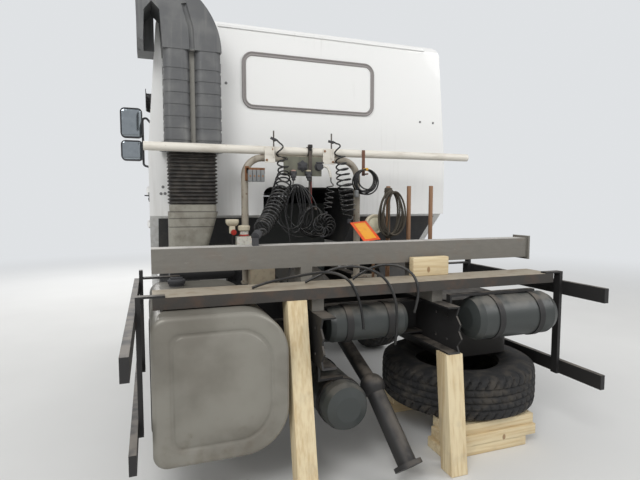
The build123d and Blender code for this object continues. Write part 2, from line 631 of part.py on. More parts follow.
# Leaf springs on the beam, hung from the rails
spring_x = 410
leaf_width = 80
leaf_thickness = 16
spring_low = 475
leaf_rows = [(0, 800), (1, 640), (2, 430)]


def leaf_profile(order, reach):
    """One leaf in the side view: a band between two arcs that rise 90 mm at 800 mm from the middle."""
    radius = 800**2 / (2 * 90)
    low = spring_low + (2 - order) * leaf_thickness
    rise = radius - math.sqrt(radius**2 - reach**2)
    with BuildSketch() as band:
        with BuildLine():
            ThreePointArc((axle_y - reach, low + rise), (axle_y, low), (axle_y + reach, low + rise))
            Line((axle_y + reach, low + rise), (axle_y + reach, low + rise + leaf_thickness))
            ThreePointArc((axle_y + reach, low + rise + leaf_thickness), (axle_y, low + leaf_thickness),
                          (axle_y - reach, low + rise + leaf_thickness))
            Line((axle_y - reach, low + rise + leaf_thickness), (axle_y - reach, low + rise))
        make_face()
    return band.sketch


spring_left = None
for order, reach in leaf_rows:
    leaf = across(leaf_profile(order, reach), spring_x - leaf_width / 2, spring_x + leaf_width / 2)
    spring_left = leaf if spring_left is None else spring_left + leaf
eye_z = spring_low + 2 * leaf_thickness + 90 + 12
for eye_y in (axle_y - 800, axle_y + 800):
    eye = Pos(spring_x, eye_y, eye_z) * Rot(0, 90, 0) * Cylinder(34, leaf_width)
    hanger = block(spring_x - 58, spring_x + 15, eye_y - 50, eye_y + 50, eye_z - 30, rail_bottom)
    cheeks = hanger - block(spring_x - leaf_width / 2 - 5, spring_x + 60, eye_y - 60, eye_y + 60, 0, eye_z + 40)
    eye_pin = bar((spring_x - 58, eye_y, eye_z), (spring_x + 30, eye_y, eye_z), 14)
    spring_left = spring_left + eye + cheeks + eye_pin
clamp_plate = block(spring_x - 50, spring_x + 50, axle_y - 70, axle_y + 70, spring_low + 48, spring_low + 66)
spring_left = spring_left + clamp_plate
shock = bar((spring_x + 85, axle_y + 82, 480), (spring_x + 85, axle_y + 150, 900), 34)
shock_foot = block(spring_x + 50, spring_x + 119, axle_y + beam_half_depth, axle_y + 112, 446, 500)
shock_top = block(rail_outer, spring_x + 95, axle_y + 125, axle_y + 175, 860, 900)
shock_left = shock + shock_top + shock_foot

# Engine and gearbox as plain masses at their real places, with the radiator ahead
engine = block(-330, 330, -1650, -420, 560, 1560)
engine_feet = block(-rail_outer + rail_wall, rail_outer - rail_wall, -1300, -1220, 740, 800)
bell = bar((0, -420, 800), (0, -320, 800), 270)


def case_section(y, z, width, height):
    """The gearbox case at one place along its length: a rectangle with cut corners."""
    corner = 0.22 * width
    x, up = width / 2, height / 2
    return Plane(origin=(0, y, z), x_dir=(1, 0, 0), z_dir=(0, 1, 0)) * outline([
        (-x + corner, -up), (x - corner, -up), (x, -up + corner), (x, up - corner), (x - corner, up),
        (-x + corner, up), (-x, up - corner), (-x, -up + corner)])


gearbox = loft([case_section(-320, 800, 460, 500), case_section(40, 780, 420, 430), case_section(340, 760, 260, 280)],
               ruled=True)
gearbox = bell + gearbox + bar((0, 340, 760), (0, 372, 760), 60)
radiator_half = tunnel_half - tunnel_wall - 5
radiator = block(-radiator_half, radiator_half, front_y + 130, front_y + 250, rail_top, tunnel_top - tunnel_wall - 50)

# Knuckle, spindle and steering arm on the left
spindle_radius = 45
yoke_web_x = kingpin_x + 50
arm_reach = 170
arm_z = fist_low - 5 - 28
knuckle_web = block(yoke_web_x, yoke_web_x + 26, axle_y - 60, axle_y + 60, arm_z - 25, fist_high + 55)
ear_low = Pos(kingpin_x, axle_y, fist_low - move_clearance - 25) * Cylinder(42, 50)
ear_low = ear_low + block(kingpin_x, yoke_web_x + 5, axle_y - 42, axle_y + 42,
                          fist_low - move_clearance - 50, fist_low - move_clearance)
ear_high = Pos(kingpin_x, axle_y, fist_high + move_clearance + 25) * Cylinder(42, 50)
ear_high = ear_high + block(kingpin_x, yoke_web_x + 5, axle_y - 42, axle_y + 42,
                            fist_high + move_clearance, fist_high + move_clearance + 50)
kingpin = Pos(kingpin_x, axle_y, wheel_z) * Cylinder(pin_bore, fist_high - fist_low + 2 * move_clearance + 90)
back_plate = Pos(yoke_web_x + 34, axle_y, wheel_z) * Rot(0, 90, 0) * Cylinder(190, 16)
spindle = bar((yoke_web_x + 20, axle_y, wheel_z), (1176, axle_y, wheel_z), spindle_radius)
arm_low_z = fist_low - move_clearance - 50
arm = block(kingpin_x - 22, kingpin_x + 22, axle_y, axle_y + arm_reach, arm_low_z, arm_low_z + 30)
arm = arm + Pos(kingpin_x, axle_y + arm_reach, arm_low_z + 15) * Cylinder(28, 30)
ball_radius = 11
ball_pin = Pos(kingpin_x, axle_y + arm_reach, arm_low_z - 22) * Cylinder(ball_radius, 50)
knuckle_left = knuckle_web + ear_low + ear_high + kingpin + back_plate + spindle + arm + ball_pin

rod_z = arm_low_z - 28
tie_rod = bar((-kingpin_x, axle_y + arm_reach, rod_z), (kingpin_x, axle_y + arm_reach, rod_z), 18)
for side in (-1, 1):
    tie_rod = tie_rod + Pos(side * kingpin_x, axle_y + arm_reach, rod_z) * Cylinder(26, 40)
for side in (-1, 1):
    tie_rod = tie_rod - Pos(side * kingpin_x, axle_y + arm_reach, rod_z) * Cylinder(
        ball_radius + seat_clearance, 80)

# Wheel: profiles as (radius, distance out), turned about the axle
bead = rim_radius + seat_clearance
tyre_section = [(bead, -103), (310, -111), (rim_radius + 100, -tyre_width / 2),
                (tyre_radius - 50, -tyre_width / 2 + 10), (tyre_radius, -tyre_width / 2 + 44),
                (tyre_radius, tyre_width / 2 - 44), (tyre_radius - 50, tyre_width / 2 - 10),
                (rim_radius + 100, tyre_width / 2), (310, 111), (bead, 103)]
groove_rows = [-60, 0, 60]
groove_depth = 14


def tyre_at(x, y, z):
    """A tyre about a line along X, its sides two straight slopes, with four road grooves."""
    body = turned_x(outline(tyre_section), x, y, z)
    for groove in groove_rows:
        ring = outline([(tyre_radius - groove_depth, groove - 6), (tyre_radius + 10, groove - 6),
                        (tyre_radius + 10, groove + 6), (tyre_radius - groove_depth, groove + 6)])
        body = body - turned_x(ring, x, y, z)
    return body


rim_section = [(rim_radius, -80), (rim_radius, -104), (308, -112), (308, -120), (274, -106), (246, -60),
               (240, 60), (176, 146), (100, 146), (100, 160), (182, 160), (250, 78), (280, 112), (308, 120),
               (308, 112), (rim_radius, 104), (rim_radius, 60), (258, 40), (258, -60)]
rim_left = turned_x(outline(rim_section), half_track, axle_y, wheel_z)
hand_holes = 8
for turn in range(hand_holes):
    angle = 2 * math.pi * turn / hand_holes
    hole = Pos(half_track + 120, axle_y + 212 * math.sin(angle), wheel_z + 212 * math.cos(angle)) * Rot(
        0, 90, 0) * Cylinder(27, 160)
    rim_left = rim_left - hole
hub_section = [(spindle_radius + seat_clearance, -30), (205, -30), (212, 60), (120, 90), (120, 132), (168, 132),
               (168, 146), (99.7, 146), (99.7, 176), (70, 205), (0, 215), (0, 170),
               (spindle_radius + seat_clearance, 170)]
hub_left = turned_x(outline(hub_section), half_track, axle_y, wheel_z)
nut_count = 10
for turn in range(nut_count):
    angle = 2 * math.pi * (turn + 0.5) / nut_count
    nut_place = Pos(half_track + 160, axle_y + 142 * math.sin(angle), wheel_z + 142 * math.cos(angle))
    hub_left = hub_left + nut_place * Rot(0, 90, 0) * extrude(RegularPolygon(17, 6), 25)
tyre_left = tyre_at(half_track, axle_y, wheel_z)

# Mudguards behind the front wheels: quarter rings fixed to the rails
guard_inner = arch_radius + 15
guard_outer = guard_inner + 6


def guard_ring(first, last):
    """A band about the wheel's centre between two angles in the side view."""
    with BuildSketch() as band:
        with BuildLine():
            outer = CenterArc((axle_y, wheel_z), guard_outer, first, last - first)
            inner = CenterArc((axle_y, wheel_z), guard_inner, first, last - first)
            Line(outer @ 0, inner @ 0)
            Line(outer @ 1, inner @ 1)
        make_face()
    return band.sketch


mudguard_left = across(guard_ring(2, 96), 860, half_width - shell_thickness - 8)
guard_arm = bar((rail_outer, axle_y + guard_inner * math.cos(math.radians(30)) + 3,
                 wheel_z + guard_inner * math.sin(math.radians(30)) + 3),
                (900, axle_y + guard_inner * math.cos(math.radians(30)) + 3,
                 wheel_z + guard_inner * math.sin(math.radians(30)) + 3), 16)
mudguard_left = mudguard_left + guard_arm

# Fuel tank: flat outside, round inside, hung on the left rail by straps
tank_rear_y = rear_wall_y + 1420
tank_front_y = rear_wall_y + 330
tank_x0 = 600
tank_x1 = 1265
tank_low = 300
tank_high = 1000
tank_outline = outline([(tank_x0, tank_low), (tank_x1, tank_low), (tank_x1, tank_high), (tank_x0, tank_high)])
tank_outline = fillet(tank_outline.vertices().group_by(Axis.X)[0], 230)
tank_outline = fillet(tank_outline.vertices().sort_by(Axis.X)[-2:], 70)
fuel_tank = along(tank_outline, tank_front_y, tank_rear_y)
rim_line = along(offset(tank_outline, -28), tank_rear_y - 18, tank_rear_y + 10) - along(
    offset(tank_outline, -62), tank_rear_y - 40, tank_rear_y + 20)
fuel_tank = fuel_tank - rim_line
fuel_tank = fuel_tank + Pos(1150, tank_front_y + 500, tank_high + 10) * Cylinder(62, 44)
strap_rows = [tank_front_y + 160, tank_front_y + 700]
tank_straps = []
for strap_y in strap_rows:
    strap = along(offset(tank_outline, 6), strap_y, strap_y + 60) - along(
        offset(tank_outline, seat_clearance), strap_y - 10, strap_y + 70)
    arm = block(rail_outer, tank_x0 + 130, strap_y, strap_y + 60, rail_bottom - 250, rail_bottom + 200)
    arm = arm - along(offset(tank_outline, seat_clearance), strap_y - 10, strap_y + 70)
    tank_straps.append(strap + arm)

# Air tanks: one across between the rails, one on the right, one lengthways under the left rail


def air_tank(length, radius):
    """A tank about Z with domed ends."""
    half = length / 2 - radius / 2
    dome = 0.3 * radius
    profile = outline([(0, -half), (radius - 1.6 * dome, -half), (radius - 0.4 * dome, -half + 0.5 * dome),
                       (radius, -half + 1.4 * dome), (radius, half - 1.4 * dome), (radius - 0.4 * dome, half - 0.5 * dome),
                       (radius - 1.6 * dome, half), (0, half)])
    return Rot(90, 0, 0) * revolve(profile, axis=Axis.Y)


cross_tank_y = rear_wall_y + 1165
cross_tank_z = 865
cross_tank_radius = 105
side_tank_radius = 135
band_thickness = 6
cross_tank = Pos(70, cross_tank_y, cross_tank_z) * Rot(0, 90, 0) * air_tank(620, cross_tank_radius)
right_tank_y = rear_wall_y + 1290
right_tank_z = 860
right_tank = Pos(-865, right_tank_y, right_tank_z) * Rot(0, 90, 0) * air_tank(760, side_tank_radius)
under_tank_z = 430
under_tank = Pos(250, rear_wall_y + 1050, under_tank_z) * Rot(90, 0, 0) * air_tank(760, side_tank_radius)


def band(radius):
    """A strap ring about Z round a tank of this radius."""
    return Cylinder(radius + band_thickness, 40) - Cylinder(radius + seat_clearance, 60)


band_parts = []
for band_x in (-60, 200):
    ring = Pos(band_x, cross_tank_y, cross_tank_z) * Rot(0, 90, 0) * band(cross_tank_radius)
    hanger = block(band_x - 20, band_x + 20, rear_wall_y + 940, cross_tank_y, cross_tank_z - 20, cross_tank_z + 20)
    hanger = hanger - Pos(band_x, cross_tank_y, cross_tank_z) * Rot(0, 90, 0) * Cylinder(
        cross_tank_radius + seat_clearance, 80)
    band_parts.append(ring + hanger)
arm_top = right_tank_z + side_tank_radius + 20
right_arm = block(-1060, -rail_outer, right_tank_y - 20, right_tank_y + 20, arm_top - 14, arm_top)
right_arm = right_arm + block(-rail_outer - 12, -rail_outer, right_tank_y - 20, right_tank_y + 20, 800, arm_top)
for band_x in (-720, -1020):
    ring = Pos(band_x, right_tank_y, right_tank_z) * Rot(0, 90, 0) * band(side_tank_radius)
    lug = block(band_x - 20, band_x + 20, right_tank_y - 20, right_tank_y + 20,
                right_tank_z + side_tank_radius + 2, arm_top - 4)
    right_arm = right_arm + ring + lug
band_parts.append(right_arm)
hanger_z = under_tank_z + side_tank_radius + band_thickness - 4
for band_y in (rear_wall_y + 850, rear_wall_y + 1230):
    ring = Pos(250, band_y, under_tank_z) * Rot(90, 0, 0) * band(side_tank_radius)
    hanger = block(240, 390, band_y - 20, band_y + 20, hanger_z, hanger_z + 14)
    hanger = hanger + block(376, 390, band_y - 20, band_y + 20, hanger_z, rail_bottom)
    band_parts.append(ring + hanger)

# Silencer low on the right
planks_top = 199
silencer_bottom = planks_top + tyre_width + seat_clearance
silencer = upright(Pos(-900, rear_wall_y + 620) * RectangleRounded(560, 700, 90), silencer_bottom, 900)
silencer_arm = block(-640, -rail_outer, rear_wall_y + 500, rear_wall_y + 560, 760, 880)

# Propeller shaft stub, dropped to the ground behind its joint
joint_place = (20, rear_wall_y + 1180, 470)
shaft_front = (0, 430, 760)
drop_end = (-55, rear_wall_y + 1490, 112)
shaft_tube = bar(shaft_front, joint_place, 45)
shaft_yoke = bar((0, 372 + seat_clearance, 760), shaft_front, 48) + Pos(*shaft_front) * Sphere(56)
joint_body = Pos(*joint_place) * Sphere(74)
shaft_drop = bar(joint_place, drop_end, 55)
drop_way = (Vector(*drop_end) - Vector(*joint_place)).normalized()
flange_start = Vector(*drop_end) - drop_way * 24
shaft_flange = bar(tuple(flange_start), drop_end, 82)
flange_pcd = 125
flange_hole = 6
flange_plane = Plane(origin=drop_end, z_dir=drop_way)
for turn in range(4):
    angle = math.pi / 4 + turn * math.pi / 2
    spot = flange_plane.from_local_coords(
        (flange_pcd / 2 * math.cos(angle), flange_pcd / 2 * math.sin(angle), 0))
    shaft_flange = shaft_flange - bar(tuple(spot - drop_way * 60), tuple(spot + drop_way * 60),
                                      flange_hole)
prop_shaft = shaft_tube + joint_body + shaft_drop + shaft_yoke
prop_shaft = prop_shaft + shaft_flange

# Cross beams laid over the cut frame, with stools and a wood block between them
beam_a = block(-beam_half, beam_half, beam_rear_y - beam_depth, beam_rear_y, beam_bottom, beam_bottom + beam_height)
end_plate = block(-beam_half - 14, -beam_half, beam_rear_y - beam_depth - 12, beam_rear_y + 12,
                  beam_bottom - 16, beam_bottom + beam_height + 16)
cross_beam = beam_a + end_plate
deck_y0 = beam_rear_y + 4
deck_y1 = deck_y0 + deck_depth
deck = block(-beam_half, beam_half, deck_y0, deck_y1, deck_top - deck_height, deck_top)
deck = deck - block(-beam_half - 10, beam_half + 10, deck_y0 + 10, deck_y1 - 10, 0, deck_top - 12)
stools = []
for side in (-1, 1):
    stool = block(side * 350, side * 420, beam_rear_y - beam_depth, beam_rear_y, rail_top, beam_bottom)
    stools.append(stool)
    stools.append(block(side * 350, side * 420, deck_y0 + 40, deck_y1 - 40, rail_top, deck_top - 12))
wood_block = block(-500, -220, deck_y0 + 6, deck_y0 + 60, deck_top, deck_top + 120)

# Wooden posts that hold up the cut end
post_width = 96
post_left = block(500 - post_width / 2, 500 + post_width / 2, deck_y1 + 12 - post_width, deck_y1 + 12, 0,
                  deck_top - deck_height)
post_right = block(-367 - post_width / 2, -367 + post_width / 2, cut_y - 8 - post_width, cut_y - 8, 0,
                   rail_bottom)

# A flat tyre and three planks under the silencer
prop_tyre_place = (-(guard_x - 16 - 4 - tyre_radius), rear_wall_y + 860)
plank_rows = [(0, 66, -1330, -360, 0), (66.3, 133, -1390, -420, 14), (133.3, 199, -1410, -300, -10)]
planks = []
for low, high, x_from, x_to, slide in plank_rows:
    planks.append(block(x_from, x_to, prop_tyre_place[1] - 110 + slide, prop_tyre_place[1] + 110 + slide, low, high))
prop_tyre = Pos(prop_tyre_place[0], prop_tyre_place[1], planks_top + tyre_width / 2) * Rot(0, 90, 0) * tyre_at(0, 0, 0)

# Side guards: two rails a side with end brackets
guard_size = 45
arm_y = rear_wall_y + 260


def side_guard(upper_end, lower_end):
    """The left guard: two rails on two posts, carried from the deck's end and from the rail."""
    guard = block(guard_x - 16, guard_x + 16, rear_wall_y + 200, upper_end, 1000 - guard_size, 1000 + guard_size)
    guard = guard + block(guard_x - 16, guard_x + 16, rear_wall_y + 200, lower_end, 460 - guard_size,
                          460 + guard_size)
    for post_y in (arm_y, deck_y1 - 50):
        guard = guard + block(guard_x - 40, guard_x - 16, post_y, post_y + 50, 415, deck_top + 10)
    guard = guard + block(beam_half - 60, guard_x - 16, deck_y1 - 50, deck_y1, deck_top, deck_top + 10)
    guard = guard + block(tank_x1 - 200, guard_x - 16, arm_y, arm_y + 50, 1050, 1062)
    guard = guard + block(tank_x1 - 200, tank_x1 - 180, arm_y, arm_y + 50, 930, 1062)
    return guard + block(rail_outer, tank_x1 - 190, arm_y + 10, arm_y + 40, 930, 960)


guard_left = side_guard(rear_wall_y + 2000, rear_wall_y + 1620)
guard_right = mirrored(side_guard(rear_wall_y + 1590, rear_wall_y + 1590))

# Hose frame: a bent pipe on the rails, a long white bar over it and its plates
leg_radius = 25
bar_radius = 30
bar_z = 1940
hose_y = rear_wall_y + 306
frame_top = bar_z - bar_radius - leg_radius - seat_clearance
leg_x = [610, -260]
hose_frame = pipe([(leg_x[0], hose_y, 1000), (leg_x[0], hose_y, frame_top), (leg_x[1], hose_y, frame_top),
                   (leg_x[1], hose_y, 1000)], leg_radius, 130)
left_foot = block(rail_outer - 30, leg_x[0] + 30, hose_y - 30, hose_y + 30, 985, 1000)
left_foot = left_foot + block(rail_outer - 60, rail_outer, hose_y - 30, hose_y + 30, rail_top, 985)
right_foot = block(-rail_outer, leg_x[1] + 30, hose_y - 30, hose_y + 30, 985, 1000)
right_foot = right_foot + block(-rail_outer, -rail_outer + 60, hose_y - 30, hose_y + 30, rail_top, 985)
hose_frame = hose_frame + left_foot + right_foot
white_bar = bar((1280, hose_y, bar_z), (-1262, hose_y, bar_z), bar_radius)
plate_y = hose_y + bar_radius
bar_plates = []
for plate_x0, plate_x1 in ((395, 470), (-60, 30)):
    bar_plates.append(block(plate_x0, plate_x1, plate_y - 2, plate_y + 6, 1850, 1960))
board_y = hose_y + leg_radius - 4
hose_frame = hose_frame + block(40, 330, board_y, board_y + 8, 1760, 1900)
white_bar = white_bar + bar_plates[0] + bar_plates[1]
hook_y = plate_y + 10
lead_radius = 6
for hook_x in (395, -45):
    hook_at = hook_x + lead_radius + 5 + seat_clearance
    white_bar = white_bar + bar((hook_at, hook_y, 1890), (hook_at, hook_y, 2075), 5)

# Flat hanging bar with a hook for the hose pile, and a strap hook for the cable hank
hang_x = 130
pile_centre = (hang_x, 600, 1430)
pile_radius = 140
pile_hole = 30
hook_pin = 8
hang_bar = block(hang_x - 12, hang_x + 12, plate_y - 0.7, plate_y + 7, 1480, 1975)
pile_pin_z = pile_centre[2] + 70 + pile_hole - hook_pin - seat_clearance
hang_bar = hang_bar + bar((hang_x, plate_y, pile_pin_z), (hang_x, pile_centre[1] + 62, pile_pin_z), hook_pin)
hank_centre = (-300, plate_y + 42, 1725)
hank_hole = 62
strap_hook = block(hank_centre[0] - 12, hank_centre[0] + 12, plate_y - 2, plate_y + 4, 1770, 1965)
hank_pin_z = hank_centre[2] + hank_hole - 6 - seat_clearance
strap_hook = strap_hook + bar((hank_centre[0], plate_y, hank_pin_z), (hank_centre[0], plate_y + 78, hank_pin_z), 6)
white_bar = white_bar + hang_bar + strap_hook

# Stakes on the frame behind the cab, with a work lamp and a warning plate
stake_rows = [(-330, 1680), (-495, 1683), (-676, 1686)]
stake_y = 880
stake_foot = block(-720, -200, stake_y - 40, stake_y + 40, rail_top, rail_top + 16)
stake_parts = []
for stake_x, stake_top in stake_rows:
    stake_parts.append(bar((stake_x, stake_y, rail_top + 16), (stake_x, stake_y, stake_top), 15))
stakes = stake_foot
for stake in stake_parts:
    stakes = stakes + stake
lamp_body_rear = Pos(-232, 850, 1415) * Rot(90, 0, 0) * Cylinder(62, 46)
lamp_stem = bar((-232, 850, rail_top), (-232, 850, 1360), 10)
stakes = stakes + lamp_body_rear + lamp_stem

# Free hoses and cables, as plain solids
big_coil_route = [(355, 600, 1745), (385, 690, 1670), (470, 850, 1560), (570, 1010, 1450), (660, 1150, 1385)]
coil_hose_left = cord("left coil", big_coil_route, 50)
coil_way = (Vector(*big_coil_route[1]) - Vector(*big_coil_route[0])).normalized()
lead_left = [(395, hook_y + 2, 2010), (378, 545, 1962), (358, 550, 1905), (345, 554, 1848), (341, 560, 1800),
             tuple(Vector(*big_coil_route[0]) - coil_way * 40),
             tuple(Vector(*big_coil_route[0]) - coil_way * seat_clearance)]
hose_left_top = cord("left hose lead", lead_left, lead_radius)
right_coil_route = [(-100, 590, 1800), (-108, 610, 1700), (-114, 640, 1600), (-120, 660, 1500), (-122, 670, 1420)]
coil_hose_right = cord("right coil", right_coil_route, 46)
coil_way = (Vector(*right_coil_route[1]) - Vector(*right_coil_route[0])).normalized()
lead_right = [(-45, hook_y + 2, 2010), (-62, 550, 1965), (-82, 562, 1910),
              tuple(Vector(*right_coil_route[0]) - coil_way * 55),
              tuple(Vector(*right_coil_route[0]) - coil_way * seat_clearance)]
hose_right_top = cord("right hose lead", lead_right, lead_radius)
pile_ring = Cylinder(pile_radius, 110) - Pos(0, 70, 0) * Cylinder(pile_hole, 120)
hose_pile = Pos(*pile_centre) * Rot(90, 0, 0) * pile_ring
cable_hank = Pos(*hank_centre) * Rot(90, 0, 0) * (Cylinder(100, 60) - Cylinder(hank_hole, 80))
coil_end = Vector(*big_coil_route[-1])
coil_way = (coil_end - Vector(*big_coil_route[-2])).normalized()
gladhand = bar(tuple(coil_end + coil_way * seat_clearance), tuple(coil_end + coil_way * 46), 26)
gladhand = gladhand + block(668, 700, 1168, 1208, beam_bottom + beam_height + seat_clearance, 1362)
cut_hose_rows = {
    "cut_hose_a": [(745, 1380, 1108.3), (690, 1385, 1128), (610, 1384, 1142), (530, 1388, 1154), (440, 1392, 1168),
                   (350, 1402, 1178), (275, 1428, 1172), (222, 1468, 1140), (190, 1496, 1084), (168, 1508, 1010),
                   (150, 1506, 930), (140, 1498, 860)],
    "cut_hose_b": [(420, 1300, 1108.3), (350, 1310, 1140), (270, 1330, 1180), (180, 1362, 1200), (90, 1406, 1192),
                   (20, 1456, 1160), (-26, 1496, 1096), (-50, 1512, 1020), (-62, 1512, 930), (-66, 1504, 840),
                   (-60, 1496, 750)],
    "cut_hose_c": [(120, 1290, 1108.3), (60, 1300, 1150), (-20, 1320, 1187), (-100, 1356, 1198), (-160, 1412, 1182),
                   (-196, 1468, 1142), (-206, 1500, 1076), (-196, 1512, 1000), (-176, 1508, 930)],
}
cut_hoses = {}
for hose_name, hose_route in cut_hose_rows.items():
    cut_hoses[hose_name] = cord(hose_name, hose_route, 8)

# Everything is written out
save("cab_roof", roof)
save("cab_rear_wall", rear_wall)
save("cab_front_panel", front_panel)
save("cab_sides", side_left, mirrored(side_left))
save("cab_floor", cab_floor)
save("rear_window_panel", window_panel)
save("rear_window_rubber", window_rubber)
save("windscreen", windscreen)
save("sun_visor", sun_visor)
save("mirrors", mirror_left, mirrored(mirror_left))
save("dashboard", dashboard + steer_group)
save("seats_and_bunk", *seat_parts, bunk + bunk_base)
save("intake_duct", intake_duct)
save("intake_bellows", bellows)
save("door_left", door_left)
save("door_glass_left", door_glass_left)
save("door_right", mirrored(door_left))
save("door_glass_right", mirrored(door_glass_left))
save("front_lid", front_lid)
save("frame_rails", rail_left, mirrored(rail_left))
save("cross_members", *cross_members)
save("front_bumper", front_bumper)
save("headlamps", *headlamps_pair)
save("front_axle", axle_beam)
save("front_suspension", spring_left, mirrored(spring_left), shock_left, mirrored(shock_left))
save("engine", engine + engine_feet)
save("gearbox", gearbox)
save("radiator", radiator)
save("air_cleaner", air_cone + air_cleaner)
save("reservoirs", reservoirs)
save("fuel_tank", fuel_tank)
save("tank_straps", *tank_straps, *band_parts)
save("air_tanks", cross_tank, right_tank, under_tank)
save("silencer", silencer + silencer_arm)
save("prop_shaft", prop_shaft)
save("cross_beam", cross_beam, *stools)
save("deck_channel", deck)
save("wood_props", post_left, post_right, wood_block, *planks)
save("prop_tyre", prop_tyre)
save("side_guards", guard_left, guard_right)
save("hose_frame", hose_frame)
save("white_bar", white_bar)
save("stakes_and_lamp", stakes)
save("mudguards", mudguard_left, mirrored(mudguard_left))
save("knuckle_left", knuckle_left)
save("knuckle_right", mirrored(knuckle_left))
save("tie_rod", tie_rod)
save("tyre_left", tyre_left)
save("tyre_right", mirrored(tyre_left))
wheel_left = rim_left + hub_left
save("wheel_rim_left", wheel_left)
save("wheel_rim_right", mirrored(wheel_left))
save("coil_hose_left", coil_hose_left)
save("coil_lead_left", hose_left_top)
save("coil_hose_right", coil_hose_right)
save("coil_lead_right", hose_right_top)
save("hose_pile", hose_pile)
save("cable_hank", cable_hank)
save("cut_hoses", *cut_hoses.values())
save("gladhand", gladhand)
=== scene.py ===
import math

import bmesh
import bpy
import numpy as np
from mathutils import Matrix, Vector


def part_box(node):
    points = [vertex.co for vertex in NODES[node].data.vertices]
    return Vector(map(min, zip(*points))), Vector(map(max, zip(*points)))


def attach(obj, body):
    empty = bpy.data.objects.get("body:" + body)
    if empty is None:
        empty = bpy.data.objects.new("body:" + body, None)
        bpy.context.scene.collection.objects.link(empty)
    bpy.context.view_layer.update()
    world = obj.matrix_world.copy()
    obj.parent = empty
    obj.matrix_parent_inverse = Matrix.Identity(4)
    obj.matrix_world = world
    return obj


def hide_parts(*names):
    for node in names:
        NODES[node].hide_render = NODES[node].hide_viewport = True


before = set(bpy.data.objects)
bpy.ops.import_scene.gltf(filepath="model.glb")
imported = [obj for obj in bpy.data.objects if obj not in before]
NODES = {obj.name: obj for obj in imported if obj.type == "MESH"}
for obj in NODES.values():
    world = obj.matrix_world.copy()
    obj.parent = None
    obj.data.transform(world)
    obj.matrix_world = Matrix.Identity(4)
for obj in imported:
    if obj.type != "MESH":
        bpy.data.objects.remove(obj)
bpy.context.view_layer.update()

bl_info = {
    "name": "Cut tractor unit looks",
    "version": (1, 0, 0),
    "blender": (4, 5, 0),
    "location": "View3D > Sidebar > Tractor",
    "description": "Hoses, seats, tyres, fittings and finishes of a cab with the front half of its chassis",
    "category": "Object",
}

# Where the hoses, the cable and the rope hang. The coils' hooks differ in X alone, and HOOK_PLACE is their Y
# and Z. HOOK_SHIFT moves a coil's fitting from its hook.
HOOK_PLACE = (0.538, 2.01)
HOOK_SHIFT = (0.006, -0.001, 0.003)
PILE_TOP = (0.13, 0.557, 1.538)
HANK_TOP = (-0.3, 0.5475, 1.8165)
STAKE_X, ROPE_TOP = -0.330, 1.640


# Numbers

def paint(red, green, blue):
    """A colour from screen values of 0 to 255, as the linear values that shaders take."""
    screen = np.array([red, green, blue]) / 255
    linear = np.where(screen <= 0.04045, screen / 12.92, ((screen + 0.055) / 1.055) ** 2.4)
    return tuple(float(part) for part in linear)


def unit(way):
    """A direction of length one."""
    way = np.asarray(way, float)
    return way / np.linalg.norm(way)


def units(rows):
    """Rows of directions, each made one long."""
    return rows / np.linalg.norm(rows, axis=1)[:, None]


def reached(points):
    """How far along a line each of its points lies."""
    return np.concatenate([[0], np.cumsum(np.linalg.norm(np.diff(points, axis=0), axis=1))])


def around(axis):
    """Two unit directions square to an axis and to each other."""
    axis = unit(axis)
    spare = np.eye(3)[np.argmin(np.abs(axis))]
    first = unit(np.cross(spare, axis))
    return first, np.cross(axis, first)


def smooth(low, high, value):
    """0 below low, 1 above high, and an S-shaped rise between them."""
    share = np.clip((value - low) / (high - low), 0, 1)
    return share * share * (3 - 2 * share)


# Surfaces: each returns points and faces

def skin(grid, ring=False, caps=True):
    """Quads between neighbours of a grid of points, whose last column is joined to the first. ring joins the
    last row to the first too, and caps closes the first and last rows with one face each."""
    rows, columns = grid.shape[:2]
    across = np.arange(rows if ring else rows - 1)
    row, column = (part.ravel() for part in np.meshgrid(across, np.arange(columns), indexing="ij"))
    after, beside = (row + 1) % rows, (column + 1) % columns
    faces = np.stack([row * columns + column, after * columns + column,
                      after * columns + beside, row * columns + beside], 1).tolist()
    if caps and not ring:
        faces.append(list(range(columns)))
        faces.append(list(range((rows - 1) * columns, rows * columns)))
    return grid.reshape(-1, 3), faces


def turned(profile, centre, axis, steps, wave=None):
    """A profile of (radius, height) carried round an axis: the point at an angle is the centre, plus the
    height along the axis, plus the radius along the turned direction. wave multiplies the radius by angle."""
    profile = np.array(profile, float)
    first, second = around(axis)
    angle = np.linspace(0, 2 * math.pi, steps, endpoint=False)
    factor = np.ones(steps) if wave is None else wave(angle)
    turn = factor[:, None] * (np.cos(angle)[:, None] * first + np.sin(angle)[:, None] * second)
    grid = np.asarray(centre) + profile[:, 1, None, None] * unit(axis) + profile[:, 0, None, None] * turn
    closed = bool(np.allclose(profile[0], profile[-1]))
    if closed:
        grid = grid[:-1]
    return skin(grid, ring=closed)


def swept(path, section, up):
    """A closed section of (side, up) carried along a path. Its side is square to the path and to up."""
    path, section = np.array(path, float), np.array(section, float)
    way = units(np.gradient(path, axis=0))
    side = units(np.cross(way, np.asarray(up, float)))
    over = np.cross(side, way)
    spread = section[None, :, 0, None] * side[:, None] + section[None, :, 1, None] * over[:, None]
    return skin(path[:, None] + spread)


def circle(radius, steps):
    """Points round a circle."""
    angle = np.linspace(0, 2 * math.pi, steps, endpoint=False)
    return np.stack([radius * np.cos(angle), radius * np.sin(angle)], 1)


def rounded(width, height, radius, steps):
    """Points round a rectangle whose corners are quarter circles."""
    angle = np.linspace(0, math.pi / 2, steps)
    corners = []
    for quarter, (x, y) in enumerate(((1, 1), (-1, 1), (-1, -1), (1, -1))):
        turn = angle + quarter * math.pi / 2
        corners.append(np.stack([x * (width / 2 - radius) + radius * np.cos(turn),
                                 y * (height / 2 - radius) + radius * np.sin(turn)], 1))
    return np.concatenate(corners)


